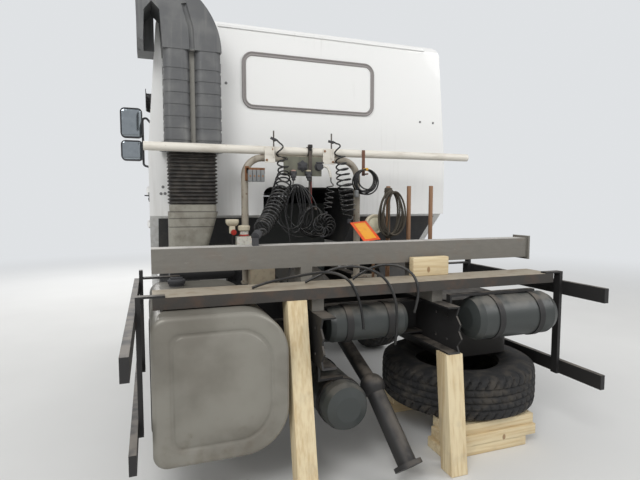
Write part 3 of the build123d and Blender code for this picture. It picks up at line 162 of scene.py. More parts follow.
def rod(start, end, radius):
    """A round bar whose ends are slightly bevelled."""
    start, end = np.array(start, float), np.array(end, float)
    length = float(np.linalg.norm(end - start))
    edge = min(0.25 * radius, 0.2 * length)
    profile = [(0, 0), (radius - edge, 0), (radius, edge), (radius, length - edge),
               (radius - edge, length), (0, length)]
    return turned(profile, start, end - start, 16)


def smoothed(points, steps):
    """A rounded line near the points: each run is split, then averaged over its neighbours several times."""
    points = np.array(points, float)
    reach = reached(points)
    spread = np.linspace(0, reach[-1], steps)
    line = np.stack([np.interp(spread, reach, points[:, axis]) for axis in range(3)], 1)
    for _ in range(6):
        line[1:-1] = (line[:-2] + 2 * line[1:-1] + line[2:]) / 4
    return line


def block(low, high, radius, axis=2):
    """A box with rounded edges: a rounded rectangle carried along one axis, drawn in by a quarter circle's
    depth at both ends."""
    low, high = np.array(low, float), np.array(high, float)
    order = [(1, 2, 0), (2, 0, 1), (0, 1, 2)][axis]
    size, middle = high - low, (high + low) / 2
    width, height, length = (size[part] for part in order)
    radius = min(radius, 0.49 * width, 0.49 * height, 0.49 * length)
    steps, point = 4, 1e-7
    angle = np.linspace(0, math.pi / 2, steps)
    inset = np.concatenate([radius * (1 - np.sin(angle)), radius * (1 - np.sin(angle[::-1]))])
    place = np.concatenate([-length / 2 + radius * (1 - np.cos(angle)),
                            length / 2 - radius * (1 - np.cos(angle[::-1]))])
    inner = rounded(width - 2 * radius + 10 * point, height - 2 * radius + 10 * point, point, steps)
    outer = rounded(width, height, radius, steps)
    share = (1 - inset / radius)[:, None, None]
    flat = inner[None] * (1 - share) + outer[None] * share
    grid = np.zeros(flat.shape[:2] + (3,))
    grid[..., order[0]] = flat[..., 0]
    grid[..., order[1]] = flat[..., 1]
    grid[..., order[2]] = place[:, None]
    return skin(grid + middle)


def outline(corners, radii, steps):
    """Points round a convex shape whose corners are arcs. Each arc starts and ends where its radius over the
    tangent of half the corner's angle reaches along the two sides."""
    corners = np.array(corners, float)
    points = []
    for number, (corner, radius) in enumerate(zip(corners, radii)):
        before = unit(corners[number - 1] - corner)
        after = unit(corners[(number + 1) % len(corners)] - corner)
        half = math.acos(float(np.clip(before @ after, -1, 1))) / 2
        middle = corner + unit(before + after) * radius / math.sin(half)
        first = corner + before * radius / math.tan(half) - middle
        last = corner + after * radius / math.tan(half) - middle
        angle = math.pi - 2 * half
        turn = np.linspace(0, 1, steps)[:, None]
        arc = (np.sin((1 - turn) * angle) * first + np.sin(turn * angle) * last) / math.sin(angle)
        points.append(middle + arc)
    return np.concatenate(points)


def stacked(shape, levels, axis):
    """A flat shape of two columns carried along one axis. Each level is (place, inset), and the inset draws
    the shape in towards its middle by the same length at both of its sides."""
    low, high = shape.min(0), shape.max(0)
    middle, half = (low + high) / 2, (high - low) / 2
    grid = np.zeros((len(levels), len(shape), 3))
    order = [(1, 2), (0, 2), (0, 1)][axis]
    levels = np.array(levels, float)
    for column, place in enumerate(order):
        share = (half[column] - levels[:, 1]) / half[column]
        grid[..., place] = middle[column] + share[:, None] * (shape[:, column] - middle[column])[None]
    grid[..., axis] = levels[:, 0][:, None]
    return skin(grid)


def bolt(centre, axis, radius, height):
    """A hexagon head on a washer."""
    rim, thick, bevel = 1.5 * radius, 0.3 * radius, 0.2 * radius
    washer = turned([(0, 0), (rim, 0), (rim, thick), (0, thick)], centre, axis, 16)
    start = np.asarray(centre) + thick * unit(axis)
    head = turned([(0, 0), (radius, 0), (radius, height - bevel), (0.85 * radius, height), (0, height)],
                  start, axis, 6)
    return [washer, head]


def bolts(places, way, radius, height):
    """A bolt at each place, all pointing one way."""
    parts = []
    for place in places:
        parts += bolt(place, way, radius, height)
    return parts


def tilted(part, centre, angle):
    """A part turned about the line along X through the centre."""
    points, faces = part
    x, y, z = (points - centre).T
    leaning = np.stack([x, y * math.cos(angle) - z * math.sin(angle),
                        y * math.sin(angle) + z * math.cos(angle)], 1)
    return leaning + centre, faces


def mirrored(parts):
    """Parts with their copies on the other side."""
    return list(parts) + [(points * (-1, 1, 1), [face[::-1] for face in faces]) for points, faces in parts]


def piece(name, parts, body, finish, replaces=(), sharp=35):
    """Joins parts into one object, closes its seams, turns its faces outwards, and rides it on a body."""
    points, faces, start = [], [], 0
    for part_points, part_faces in parts:
        points.append(part_points)
        faces.extend([[index + start for index in face] for face in part_faces])
        start += len(part_points)
    mesh = bpy.data.meshes.new(name)
    mesh.from_pydata(np.concatenate(points).tolist(), [], faces)
    shape = bmesh.new()
    shape.from_mesh(mesh)
    bmesh.ops.remove_doubles(shape, verts=shape.verts, dist=1e-6)
    bmesh.ops.recalc_face_normals(shape, faces=shape.faces)
    shape.to_mesh(mesh)
    shape.free()
    mesh.shade_smooth()
    mesh.set_sharp_from_angle(angle=math.radians(sharp))
    mesh.materials.append(bpy.data.materials[finish])
    made = bpy.data.objects.new(name, mesh)
    bpy.context.scene.collection.objects.link(made)
    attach(made, body)
    if replaces:
        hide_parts(*replaces)
    return made


# Shaders

class Reading:
    """A shader socket that can stand in a sum. Each sum lays down a Math node."""

    def __init__(self, coat, socket):
        self.coat, self.socket = coat, socket

    def math(self, operation, first, second=0.0):
        return self.coat.node("ShaderNodeMath", {"operation": operation}, {0: first, 1: second})

    def __add__(self, other):
        return self.math("ADD", self, other)

    def __sub__(self, other):
        return self.math("SUBTRACT", self, other)

    def __rsub__(self, other):
        return self.math("SUBTRACT", other, self)

    def __mul__(self, other):
        return self.math("MULTIPLY", self, other)

    def __truediv__(self, other):
        return self.math("DIVIDE", self, other)

    def __rtruediv__(self, other):
        return self.math("DIVIDE", other, self)

    def __abs__(self):
        return self.math("ABSOLUTE", self)

    def repeat(self, step):
        """The share of the way through each step of this length."""
        return self.math("FRACT", self / step)

    def larger(self, other):
        """The larger of two readings."""
        return self.math("MAXIMUM", self, other)

    __radd__, __rmul__ = __add__, __mul__


class Coat:
    """A material being laid down node by node."""

    def __init__(self, name):
        self.material = bpy.data.materials.new(name)
        self.material.use_nodes = True
        self.tree = self.material.node_tree
        self.tree.nodes.clear()
        place = self.tree.nodes.new("ShaderNodeTexCoord")
        self.place = Reading(self, place.outputs["Object"])
        self.facing = Reading(self, place.outputs["Normal"])
        self.output = self.tree.nodes.new("ShaderNodeOutputMaterial")

    def node(self, kind, settings, inputs, give=0):
        """One node: its settings first, then its inputs by name or number, and the output that is wanted."""
        made = self.tree.nodes.new(kind)
        for setting, value in settings.items():
            setattr(made, setting, value)
        for key, value in inputs.items():
            if isinstance(value, Reading):
                self.tree.links.new(value.socket, made.inputs[key])
            elif isinstance(value, tuple) and made.inputs[key].type == "RGBA":
                made.inputs[key].default_value = (*value[:3], 1.0)
            else:
                made.inputs[key].default_value = value
        return Reading(self, made.outputs[give])

    def axis(self, which, of=None):
        """One part, X, Y or Z, of the place or of another vector."""
        return self.node("ShaderNodeSeparateXYZ", {}, {0: of or self.place}, which)

    def stretched(self, scale):
        """The place, scaled before a pattern reads it where a scale is given."""
        if not scale:
            return self.place
        return self.node("ShaderNodeMapping", {}, {"Vector": self.place, "Scale": scale})

    def noise(self, size, detail, stretch=None, rough=0.5):
        """Noise whose lumps are about size metres across."""
        where = self.stretched(stretch)
        return self.node("ShaderNodeTexNoise", {}, {"Vector": where, "Scale": 1 / size, "Detail": detail,
                                                    "Roughness": rough})

    def cells(self, size, stretch=None):
        """Cells about size metres across."""
        where = self.stretched(stretch)
        return self.node("ShaderNodeTexVoronoi", {}, {"Vector": where, "Scale": 1 / size})

    def rise(self, value, low, high):
        """0 where value is under low, 1 over high, smooth between."""
        return self.node("ShaderNodeMapRange", {"interpolation_type": "SMOOTHSTEP"},
                         {0: value, 1: low, 2: high, 3: 0.0, 4: 1.0})

    def patch(self, size, detail, low, high, stretch=None, rough=0.5):
        """Noise that goes from 0 to 1 between low and high, so that it leaves patches."""
        return self.rise(self.noise(size, detail, stretch, rough), low, high)

    def above(self, low, high):
        """How far the surface faces up, from 0 at low to 1 at high."""
        return self.rise(self.axis(2, self.facing), low, high)

    def mix(self, share, first, second):
        """One colour over another."""
        return self.node("ShaderNodeMix", {"data_type": "RGBA"}, {0: share, 6: first, 7: second}, 2)

    def bump(self, height, depth, strength):
        """The surface normal of a relief whose height of 1 stands depth metres high."""
        return self.node("ShaderNodeBump", {}, {"Height": height, "Distance": depth, "Strength": strength})

    def shade(self, colour, roughness, **sockets):
        """The surface shader. Sockets are named with underscores for spaces."""
        inputs = {"Base Color": colour, "Roughness": roughness}
        inputs.update({name.replace("_", " "): value for name, value in sockets.items()})
        surface = self.node("ShaderNodeBsdfPrincipled", {}, inputs)
        self.tree.links.new(surface.socket, self.output.inputs["Surface"])


# Finishes

def enamel(name, colour, dirt, rough, coat, dirt_low, chips=None, chip_colour=None):
    """Sprayed paint: slow shade changes, fine orange peel, dirt that gathers low and runs down in streaks,
    and chips, where they are wanted, that show another colour."""
    made = Coat(name)
    slow = made.noise(0.5, 3)
    streaks = made.noise(0.03, 4, stretch=(1, 1, 0.05))
    low = 1 - made.rise(made.axis(2), dirt_low, dirt_low + 1.3)
    grime = made.rise(streaks * 0.5 + slow * 0.5 + low * 0.2, 0.56, 0.86)
    spots = made.patch(0.012, 2, 0.68, 0.78)
    tone = made.mix(grime * 0.5 + spots * 0.12, colour, dirt)
    if chips:
        bare = made.rise(made.noise(0.035, 5, rough=0.65), 1 - chips, 1 - chips + 0.03)
        tone = made.mix(bare, tone, chip_colour)
    peel = made.bump(made.noise(0.004, 2), 0.0002, 0.5)
    made.shade(tone, grime * 0.3 + rough, Coat_Weight=coat, Normal=peel)


def moulding(name, colour, faded, rough=0.55, grain=0.003):
    """Moulded plastic: fine grain, faded patches and dust on what faces up."""
    made = Coat(name)
    patches = made.patch(0.22, 4, 0.45, 0.7)
    dust = made.above(0.5, 0.95) * made.patch(0.06, 4, 0.35, 0.65)
    streaks = made.patch(0.02, 3, 0.5, 0.75, stretch=(1, 1, 0.08))
    tone = made.mix(patches * 0.6 + streaks * 0.3, colour, faded)
    tone = made.mix(dust * 0.5, tone, paint(126, 118, 106))
    relief = made.noise(grain, 2)
    made.shade(tone, patches * 0.15 + rough, Normal=made.bump(relief, 0.0004, 0.6))


def worn_steel(name, colour, rust, share, dust, rough=0.6, metal=0.0, grain=0.05):
    """Painted or bare steel with rust patches, small pits, scuffs, and dust on its upper faces."""
    made = Coat(name)
    patches = made.rise(made.noise(grain * 3, 6, rough=0.62), 1 - share - 0.06, 1 - share + 0.1)
    pits = made.patch(0.008, 3, 0.52, 0.7)
    above = made.above(0.35, 0.9)
    settled = above * made.patch(0.09, 5, 0.3, 0.62)
    tone = made.mix(made.noise(0.3, 3), colour, tuple(0.72 * part for part in colour))
    tone = made.mix(patches * (pits * 0.4 + 0.6), tone, rust)
    tone = made.mix(settled * 0.7, tone, dust)
    relief = patches * pits + made.noise(0.02, 3) * 0.3
    made.shade(tone, patches * 0.3 + rough, Metallic=metal, Normal=made.bump(relief, 0.0015, 0.6))


def pine(name, stretch):
    """Sawn pine: rings drawn out along the board, knots, and grey weathering."""
    made = Coat(name)
    warp, ring = made.noise(0.07, 2, stretch=stretch), made.noise(0.014, 3, stretch=stretch)
    grain = made.rise(warp * 0.6 + ring * 0.6, 0.46, 0.78)
    knots = made.rise(made.cells(0.17, stretch=(1, 1, 0.6)), 0.085, 0.05)
    weathered = made.patch(0.09, 5, 0.52, 0.78)
    tone = made.mix(grain * 0.75, paint(226, 210, 174), paint(198, 172, 128))
    tone = made.mix(knots * 0.75, tone, paint(134, 96, 62))
    tone = made.mix(weathered * 0.3, tone, paint(166, 152, 130))
    made.shade(tone, 0.72, Normal=made.bump(grain + knots * 0.5, 0.001, 0.5))


def lay_bar_enamel():
    """The hose bar's paint: soiled, and flaked to rust. The pin and the strap hook belong to the same
    solid, so they are found by their places and get bare iron and rust."""
    made = Coat("bar_enamel")
    x, y, z = (made.axis(part) for part in range(3))
    iron = made.rise(abs(x - PILE_TOP[0]), 0.0145, 0.0135) * made.rise(y, 0.5245, 0.5255)
    iron = iron.larger(made.rise(z, 1.9625, 1.9635) * made.rise(y, 0.5285, 0.5295))
    rust = made.rise(abs(x - HANK_TOP[0]), 0.0145, 0.0135) * made.rise(y, 0.5235, 0.5245)
    soiled = made.rise(made.noise(0.03, 4, stretch=(0.2, 1, 1)) * 0.6 + made.noise(0.2, 3) * 0.4, 0.46, 0.74)
    flaked = made.patch(0.03, 5, 0.68, 0.72, rough=0.65)
    tone = made.mix(soiled * 0.5, paint(226, 221, 210), paint(172, 162, 146))
    tone = made.mix(flaked * 0.8, tone, paint(122, 88, 66))
    tone = made.mix(iron, tone, made.mix(made.noise(0.02, 4), paint(62, 60, 58), paint(92, 80, 70)))
    tone = made.mix(rust, tone, made.mix(made.noise(0.015, 4), paint(124, 78, 54), paint(92, 64, 50)))
    made.shade(tone, flaked * 0.25 + 0.42, Normal=made.bump(made.noise(0.005, 3) - flaked, 0.0004, 0.5))


def lay_duct_plastic():
    """The intake duct: faded grey plastic with streaks, lighter on its upper faces, and a pale strip between
    its two channels."""
    made = Coat("duct_plastic")
    middle = made.rise(abs(made.axis(0) - 0.95), 0.019, 0.013) * made.rise(made.axis(2), 2.62, 2.58)
    faded = made.patch(0.16, 5, 0.42, 0.68)
    streaks = made.patch(0.025, 4, 0.5, 0.72, stretch=(1, 1, 0.07))
    tone = made.mix(faded * 0.45 + streaks * 0.4, paint(92, 93, 94), paint(124, 124, 122))
    tone = made.mix(middle * 0.8, tone, paint(156, 153, 144))
    tone = made.mix(made.above(0.4, 0.9) * 0.6, tone, paint(140, 136, 128))
    relief = made.noise(0.003, 2)
    made.shade(tone, streaks * 0.1 + 0.52, Normal=made.bump(relief, 0.0004, 0.6))


def lay_bellows_rubber():
    """The bellows: dark rubber, paler on the crest of each fold, which is found from the height."""
    made = Coat("bellows_rubber")
    low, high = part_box("intake_bellows")
    folds = 15
    fold = (made.axis(2) - float(low[2])).repeat(float(high[2] - low[2]) / folds)
    crest = made.rise(abs(fold - 0.5), 0.3, 0.5)
    dusty = made.patch(0.05, 4, 0.4, 0.65)
    tone = made.mix(crest * 0.35 + dusty * 0.22, paint(48, 46, 45), paint(118, 111, 102))
    made.shade(tone, 0.62, Normal=made.bump(made.noise(0.004, 3), 0.0006, 0.5))


def lay_cone_plastic():
    """The air cleaner: pale plastic above and dark below, with thin dark seams between its parts."""
    made = Coat("cone_plastic")
    upper = made.rise(made.axis(2), 1.245, 1.255)
    seams = [made.rise(abs(made.axis(2) - height), 0.006, 0.002) for height in (1.395, 1.455, 1.502)]
    dirty = made.patch(0.09, 5, 0.4, 0.66) * 0.5 + made.patch(0.02, 4, 0.5, 0.7) * 0.2
    tone = made.mix(dirty, paint(150, 147, 136), paint(112, 106, 95))
    tone = made.mix((seams[0] + seams[1] + seams[2]) * 0.6, tone, paint(50, 46, 42))
    tone = made.mix(1 - upper, tone, paint(44, 44, 45))
    relief = made.noise(0.02, 4) * 0.5 - seams[0] - seams[1]
    made.shade(tone, 0.58, Normal=made.bump(relief, 0.002, 0.5))


def lay_tank_metal():
    """The fuel tank: brushed metal gone cloudy, with mud that thickens downwards."""
    made = Coat("tank_metal")
    brushed = made.noise(0.006, 3, stretch=(1, 1, 0.06))
    cloudy = made.patch(0.32, 4, 0.35, 0.7)
    mud = made.rise((0.5 - made.axis(2)) * 1.1 + made.noise(0.06, 5), 0.55, 0.95)
    marks = made.patch(0.03, 5, 0.62, 0.74, rough=0.7)
    tone = made.mix(cloudy, paint(140, 137, 128), paint(118, 114, 105))
    tone = made.mix(mud * 0.5 + marks * 0.2, tone, paint(112, 103, 90))
    relief = brushed * 0.2 + mud * made.noise(0.008, 3) * 0.5 + made.noise(0.07, 2)
    made.shade(tone, mud * 0.25 + 0.42, Metallic=0.25, Normal=made.bump(relief, 0.0008, 0.4))


def lay_beam_steel():
    """The cross beam: grey steel, scuffed along its length and pale on its upper faces."""
    made = Coat("beam_steel")
    lengthwise = made.noise(0.02, 4, stretch=(0.25, 1, 1))
    rusty = made.patch(0.16, 6, 0.52, 0.74, rough=0.6)
    fine = made.noise(0.006, 4, rough=0.7)
    scuffs = made.patch(0.016, 4, 0.63, 0.74, stretch=(0.2, 1, 1), rough=0.7)
    above = made.above(0.4, 0.9)
    frost = above * made.rise(made.noise(0.1, 5) + fine * 0.2, 0.42, 0.66)
    tone = made.mix(lengthwise * 0.6 + fine * 0.4, paint(130, 127, 120), paint(102, 99, 93))
    tone = made.mix(rusty * 0.3, tone, paint(122, 104, 90))
    tone = made.mix(scuffs * 0.4, tone, paint(150, 147, 141))
    tone = made.mix(above * 0.5 + frost * 0.4, tone, paint(196, 193, 187))
    relief = lengthwise * 0.3 + fine * 0.5
    made.shade(tone, 0.7, Normal=made.bump(relief, 0.0014, 0.7))


def lay_deck_steel():
    """The deck: dark steel with rust; its upper faces are painted pale as painted light from above, with
    darker patches on them.
    """
    made = Coat("deck_steel")
    rusty = made.patch(0.13, 6, 0.45, 0.7, rough=0.6)
    fine = made.noise(0.008, 4, rough=0.7)
    above = made.above(0.4, 0.9)
    tone = made.mix(fine, paint(72, 68, 63), paint(52, 50, 48))
    tone = made.mix(rusty * 0.5, tone, paint(96, 72, 56))
    # Painted light: every upward face is made pale, as if lit from above. The patchy darker mix below it is
    # real staining.
    tone = made.mix(above * 0.85, tone, paint(178, 168, 150))
    tone = made.mix(above * made.patch(0.07, 5, 0.45, 0.68) * 0.6, tone, paint(146, 130, 110))
    made.shade(tone, 0.72, Normal=made.bump(fine + rusty * 0.4, 0.0012, 0.6))


def lay_frame_enamel():
    """The hose rack's paint: soiled and flaked, and greyer on the coupling board, which is found by its
    place."""
    made = Coat("frame_enamel")
    on_board = (made.rise(made.axis(1), 0.5135, 0.5145) * made.rise(made.axis(0), 0.037, 0.038)
                * (1 - made.rise(made.axis(0), 0.332, 0.333)) * made.rise(made.axis(2), 1.752, 1.753))
    flaked = made.patch(0.035, 5, 0.6, 0.64, rough=0.65)
    soiled = made.patch(0.05, 4, 0.42, 0.7, stretch=(1, 1, 0.3))
    tone = made.mix(soiled * 0.6, paint(158, 150, 136), paint(112, 102, 88))
    tone = made.mix(flaked * 0.8, tone, paint(98, 68, 50))
    tone = made.mix(on_board, tone, made.mix(soiled * 0.6, paint(112, 112, 98), paint(80, 79, 70)))
    made.shade(tone, flaked * 0.25 + 0.45, Normal=made.bump(flaked + made.noise(0.006, 3) * 0.4, 0.0008, 0.5))


def lay_tyre_black():
    """Tyre rubber with patches of dust."""
    made = Coat("tyre_black")
    dusty = made.patch(0.07, 5, 0.42, 0.68)
    tone = made.mix(dusty * 0.5, paint(34, 34, 35), paint(86, 80, 72))
    made.shade(tone, dusty * 0.1 + 0.78, Normal=made.bump(made.noise(0.005, 4), 0.0006, 0.6))


def lay_cab_glass():
    """Dark glass under a thin film of dust, which hides more of what is behind it."""
    made = Coat("cab_glass")
    film = made.patch(0.12, 5, 0.4, 0.75)
    tone = made.mix(film * 0.3, paint(28, 34, 36), paint(90, 92, 90))
    made.shade(tone, film * 0.1 + 0.05, Alpha=film * 0.12 + 0.42, IOR=1.45)


def lay_lamp_glass():
    """The headlamps' clear glass with upright ribs."""
    made = Coat("lamp_glass")
    ribs = abs(made.axis(0).repeat(0.012) - 0.5)
    tone = made.mix(made.noise(0.05, 3), paint(226, 230, 232), paint(196, 200, 202))
    made.shade(tone, 0.08, Alpha=ribs * 0.1 + 0.4, Normal=made.bump(ribs, 0.0015, 0.5))


def lay_reflector():
    """The headlamps' bright bowls, slightly dulled."""
    made = Coat("reflector")
    tone = made.mix(made.noise(0.03, 2), paint(226, 228, 228), paint(186, 188, 188))
    made.shade(tone, made.noise(0.02, 3) * 0.1 + 0.1, Metallic=1.0)


def lay_mirror_glass():
    """The mirrors' silvered glass with smears."""
    made = Coat("mirror_glass")
    tone = made.mix(made.noise(0.06, 4), paint(172, 180, 186), paint(140, 148, 154))
    made.shade(tone, made.patch(0.04, 4, 0.5, 0.8) * 0.15 + 0.06, Metallic=1.0)


def lay_bottle_plastic():
    """The reservoirs: cloudy white plastic, darker up to the level of what fills them."""
    made = Coat("bottle_plastic")
    filled = made.rise(made.axis(2), 1.262, 1.256)
    tone = made.mix(filled * 0.7, paint(210, 207, 196), paint(128, 108, 72))
    tone = made.mix(made.patch(0.03, 4, 0.5, 0.7) * 0.4, tone, paint(112, 104, 92))
    made.shade(tone, 0.4, Normal=made.bump(made.noise(0.01, 2), 0.0006, 0.5), Subsurface_Weight=0.1)


def lay_orange_plate():
    """The warning plate's orange rim, worn, over a fine pattern of cells."""
    made = Coat("orange_plate")
    worn = made.patch(0.04, 4, 0.5, 0.72)
    tone = made.mix(made.noise(0.02, 3), paint(228, 88, 34), paint(216, 74, 30))
    tone = made.mix(worn * 0.25, tone, paint(160, 78, 48))
    made.shade(tone, 0.42, Normal=made.bump(made.cells(0.004), 0.0003, 0.4))


def lay_amber_plate():
    """The warning plate's amber field, over the same cells."""
    made = Coat("amber_plate")
    worn = made.patch(0.04, 4, 0.5, 0.72)
    tone = made.mix(worn * 0.35, paint(232, 160, 44), paint(196, 122, 44))
    made.shade(tone, 0.38, Normal=made.bump(made.cells(0.004), 0.0003, 0.5))


def lay_pale_glass():
    """The work lamp's glass, with upright ribs, and the bulbs."""
    made = Coat("pale_glass")
    tone = made.mix(made.noise(0.04, 3), paint(226, 220, 190), paint(186, 180, 160))
    rings = abs(made.axis(0).repeat(0.009) - 0.5)
    made.shade(tone, 0.16, Normal=made.bump(rings, 0.001, 0.5))


def lay_seat_cloth():
    """Woven cloth: threads along X, Y and Z, thin coloured lines and worn patches."""
    made = Coat("seat_cloth")
    threads = [abs(made.axis(axis).repeat(0.0016) - 0.5) for axis in (0, 1, 2)]
    weave = threads[0] + threads[1] + threads[2]
    lines = made.rise(abs(made.axis(0).repeat(0.05) - 0.5), 0.43, 0.46)
    tone = made.mix(weave * 0.6, paint(66, 70, 78), paint(98, 102, 110))
    tone = made.mix(lines * 0.5, tone, paint(120, 96, 72))
    tone = made.mix(made.patch(0.1, 4, 0.5, 0.75) * 0.4, tone, paint(104, 98, 90))
    made.shade(tone, 0.88, Normal=made.bump(weave, 0.0005, 0.7), Sheen_Weight=0.25)


def lay_white_hose():
    """White tape wound round a lead, with a dark line where each turn laps the last."""
    made = Coat("white_hose")
    tape = made.rise(abs((made.axis(2) + made.axis(0) * 0.4).repeat(0.014) - 0.5), 0.4, 0.47)
    tone = made.mix(tape * 0.4 + made.patch(0.01, 3, 0.5, 0.7) * 0.3, paint(216, 212, 202),
                    paint(140, 130, 118))
    made.shade(tone, 0.5, Normal=made.bump(tape, 0.001, 0.5))


# Name, colour, faded colour, then roughness and grain where they are not the usual ones
MOULDINGS = (
    ("dark_plastic", (46, 47, 49), (78, 78, 78)),
    ("moulded_guard", (44, 45, 46), (90, 86, 80), 0.6),
    ("lamp_housing", (72, 74, 77), (110, 112, 114), 0.3),
    ("lining", (62, 62, 64), (88, 86, 82), 0.75),
    ("visor_plastic", (34, 32, 31), (52, 50, 48), 0.2),
    ("hose_rubber", (24, 24, 25), (58, 57, 55), 0.3, 0.002),
    ("coil_nylon", (30, 30, 31), (66, 66, 66), 0.22, 0.003),
    ("seal_rubber", (40, 41, 44), (70, 71, 74), 0.55),
    ("grey_connector", (128, 130, 130), (158, 158, 154), 0.5),
    ("cream_plastic", (205, 196, 172), (176, 164, 140), 0.5),
    ("red_plastic", (168, 42, 30), (120, 42, 34), 0.45),
    ("yellow_plastic", (226, 172, 42), (190, 150, 70), 0.5),
    ("pink_cap", (196, 160, 148), (150, 122, 112), 0.5),
)

# Name, colour, rust, its share, dust, then roughness, metal and grain where they are not the usual ones
STEELS = (
    ("chassis_coat", (40, 39, 39), (92, 58, 40), 0.3, (120, 112, 102)),
    ("tank_paint", (62, 66, 65), (86, 78, 68), 0.16, (120, 116, 108), 0.42, 0.0, 0.09),
    ("exhaust_steel", (58, 56, 54), (98, 70, 52), 0.36, (118, 112, 104), 0.6, 0.3),
    ("rope_fibre", (74, 68, 58), (52, 44, 36), 0.4, (110, 100, 86), 0.85, 0.0, 0.02),
    ("engine_coat", (68, 72, 70), (84, 66, 52), 0.3, (96, 90, 82), 0.55),
    ("rusty_steel", (116, 74, 48), (150, 92, 52), 0.5, (128, 116, 104), 0.8),
    ("cast_metal", (128, 127, 123), (88, 78, 68), 0.3, (120, 112, 102), 0.5, 0.5),
    ("zinc", (150, 150, 150), (110, 84, 62), 0.3, (140, 132, 124), 0.4, 0.8),
    ("copper_bracket", (142, 100, 70), (104, 66, 44), 0.4, (128, 116, 104), 0.45, 0.6),
)

# Each finish, and the solid parts that wear it
WEARING = {
    "cab_enamel": ("cab_roof", "cab_rear_wall", "cab_front_panel", "cab_sides", "rear_window_panel",
                   "door_left", "door_right", "front_lid", "front_bumper"),
    "lining": ("cab_floor",),
    "seal_rubber": ("rear_window_rubber",),
    "cab_glass": ("windscreen", "door_glass_left", "door_glass_right"),
    "visor_plastic": ("sun_visor",),
    "dark_plastic": ("mirrors", "dashboard", "gladhand"),
    "moulded_guard": ("mudguards",),
    "cone_plastic": ("air_cleaner",),
    "duct_plastic": ("intake_duct",),
    "bellows_rubber": ("intake_bellows",),
    "seat_cloth": ("seats_and_bunk",),
    "hose_rubber": ("coil_hose_left", "coil_hose_right", "coil_lead_left", "coil_lead_right", "hose_pile",
                    "cable_hank", "cut_hoses"),
    "tank_paint": ("air_tanks",),
    "exhaust_steel": ("silencer",),
    "deck_steel": ("deck_channel",),
    "frame_enamel": ("hose_frame",),
    "chassis_coat": ("frame_rails", "cross_members", "front_axle", "front_suspension", "tank_straps",
                     "prop_shaft", "side_guards", "knuckle_left", "knuckle_right", "tie_rod"),
    "lamp_housing": ("headlamps",),
    "engine_coat": ("engine",),
    "cast_metal": ("gearbox", "radiator"),
    "bottle_plastic": ("reservoirs",),
    "tank_metal": ("fuel_tank",),
    "beam_steel": ("cross_beam",),
    "pine_wood": ("wood_props",),
    "tyre_black": ("prop_tyre", "tyre_left", "tyre_right"),
    "bar_enamel": ("white_bar",),
    "rusty_steel": ("stakes_and_lamp",),
    "wheel_enamel": ("wheel_rim_left", "wheel_rim_right"),
}


def lay_finishes(colours):
    """Every finish, put on the parts that wear it."""
    enamel("cab_enamel", tuple(colours.cab), paint(188, 185, 178), 0.3, 0.35, 0.9)
    enamel("wheel_enamel", paint(150, 150, 148), paint(84, 74, 64), 0.5, 0.1, -0.2, 0.27, paint(92, 56, 38))
    for name, colour, faded, *more in MOULDINGS:
        moulding(name, paint(*colour), paint(*faded), *more)
    for name, colour, rust, share, dust, *more in STEELS:
        worn_steel(name, paint(*colour), paint(*rust), share, paint(*dust), *more)
    pine("pine_wood", (0.05, 1, 1))
    pine("pine_upright", (1, 1, 0.05))
    for lay in (lay_bar_enamel, lay_duct_plastic, lay_bellows_rubber, lay_cone_plastic, lay_tank_metal,
                lay_beam_steel, lay_deck_steel, lay_frame_enamel, lay_tyre_black, lay_cab_glass,
                lay_lamp_glass, lay_reflector, lay_mirror_glass, lay_bottle_plastic, lay_orange_plate,
                lay_amber_plate, lay_pale_glass, lay_seat_cloth, lay_white_hose):
        lay()
    for finish, names in WEARING.items():
        for name in names:
            for slot in NODES[name].material_slots:
                slot.material = bpy.data.materials[finish]


# Stage

def lay_floor(half):
    """A pale floor. As the camera sees it, it goes over into the colour of the background between two
    distances from the middle."""
    near, far_out = 4.5, 13.0
    made = Coat("floor_paint")
    tone = made.mix(made.noise(0.8, 3), paint(214, 214, 212), paint(222, 222, 220))
    surface = made.node("ShaderNodeBsdfPrincipled", {}, {"Base Color": tone, "Roughness": 0.9})
    far = made.node("ShaderNodeEmission", {}, {"Color": (0.741, 0.76, 0.779)})
    reach = made.node("ShaderNodeVectorMath", {"operation": "LENGTH"}, {0: made.place}, 1)
    seen = made.node("ShaderNodeLightPath", {}, {})
    share = made.rise(reach, near, far_out) * seen
    blend = made.node("ShaderNodeMixShader", {}, {0: share, 1: surface, 2: far})
    made.tree.links.new(blend.socket, made.output.inputs["Surface"])
    corners = [(-half, -half, 0), (half, -half, 0), (half, half, 0), (-half, half, 0)]
    mesh = bpy.data.meshes.new("floor")
    mesh.from_pydata(corners, [], [[0, 1, 2, 3]])
    mesh.materials.append(made.material)
    floor = bpy.data.objects.new("floor", mesh)
    bpy.context.scene.collection.objects.link(floor)
    floor.location.z = -0.001


def light_world(strength):
    """Soft light from all round, and behind it the plain background that only the camera sees."""
    world = bpy.data.worlds.new("studio")
    bpy.context.scene.world = world
    world.use_nodes = True
    tree = world.node_tree
    tree.nodes.clear()
    output = tree.nodes.new("ShaderNodeOutputWorld")
    choose = tree.nodes.new("ShaderNodeMixShader")
    path = tree.nodes.new("ShaderNodeLightPath")
    tree.links.new(path.outputs["Is Camera Ray"], choose.inputs[0])
    for place, colour, power in ((1, (0.985, 0.99, 1.0, 1), strength), (2, (0.78, 0.80, 0.82, 1), 0.95)):
        shown = tree.nodes.new("ShaderNodeBackground")
        shown.inputs["Color"].default_value = colour
        shown.inputs["Strength"].default_value = power
        tree.links.new(shown.outputs[0], choose.inputs[place])
    tree.links.new(choose.outputs[0], output.inputs["Surface"])


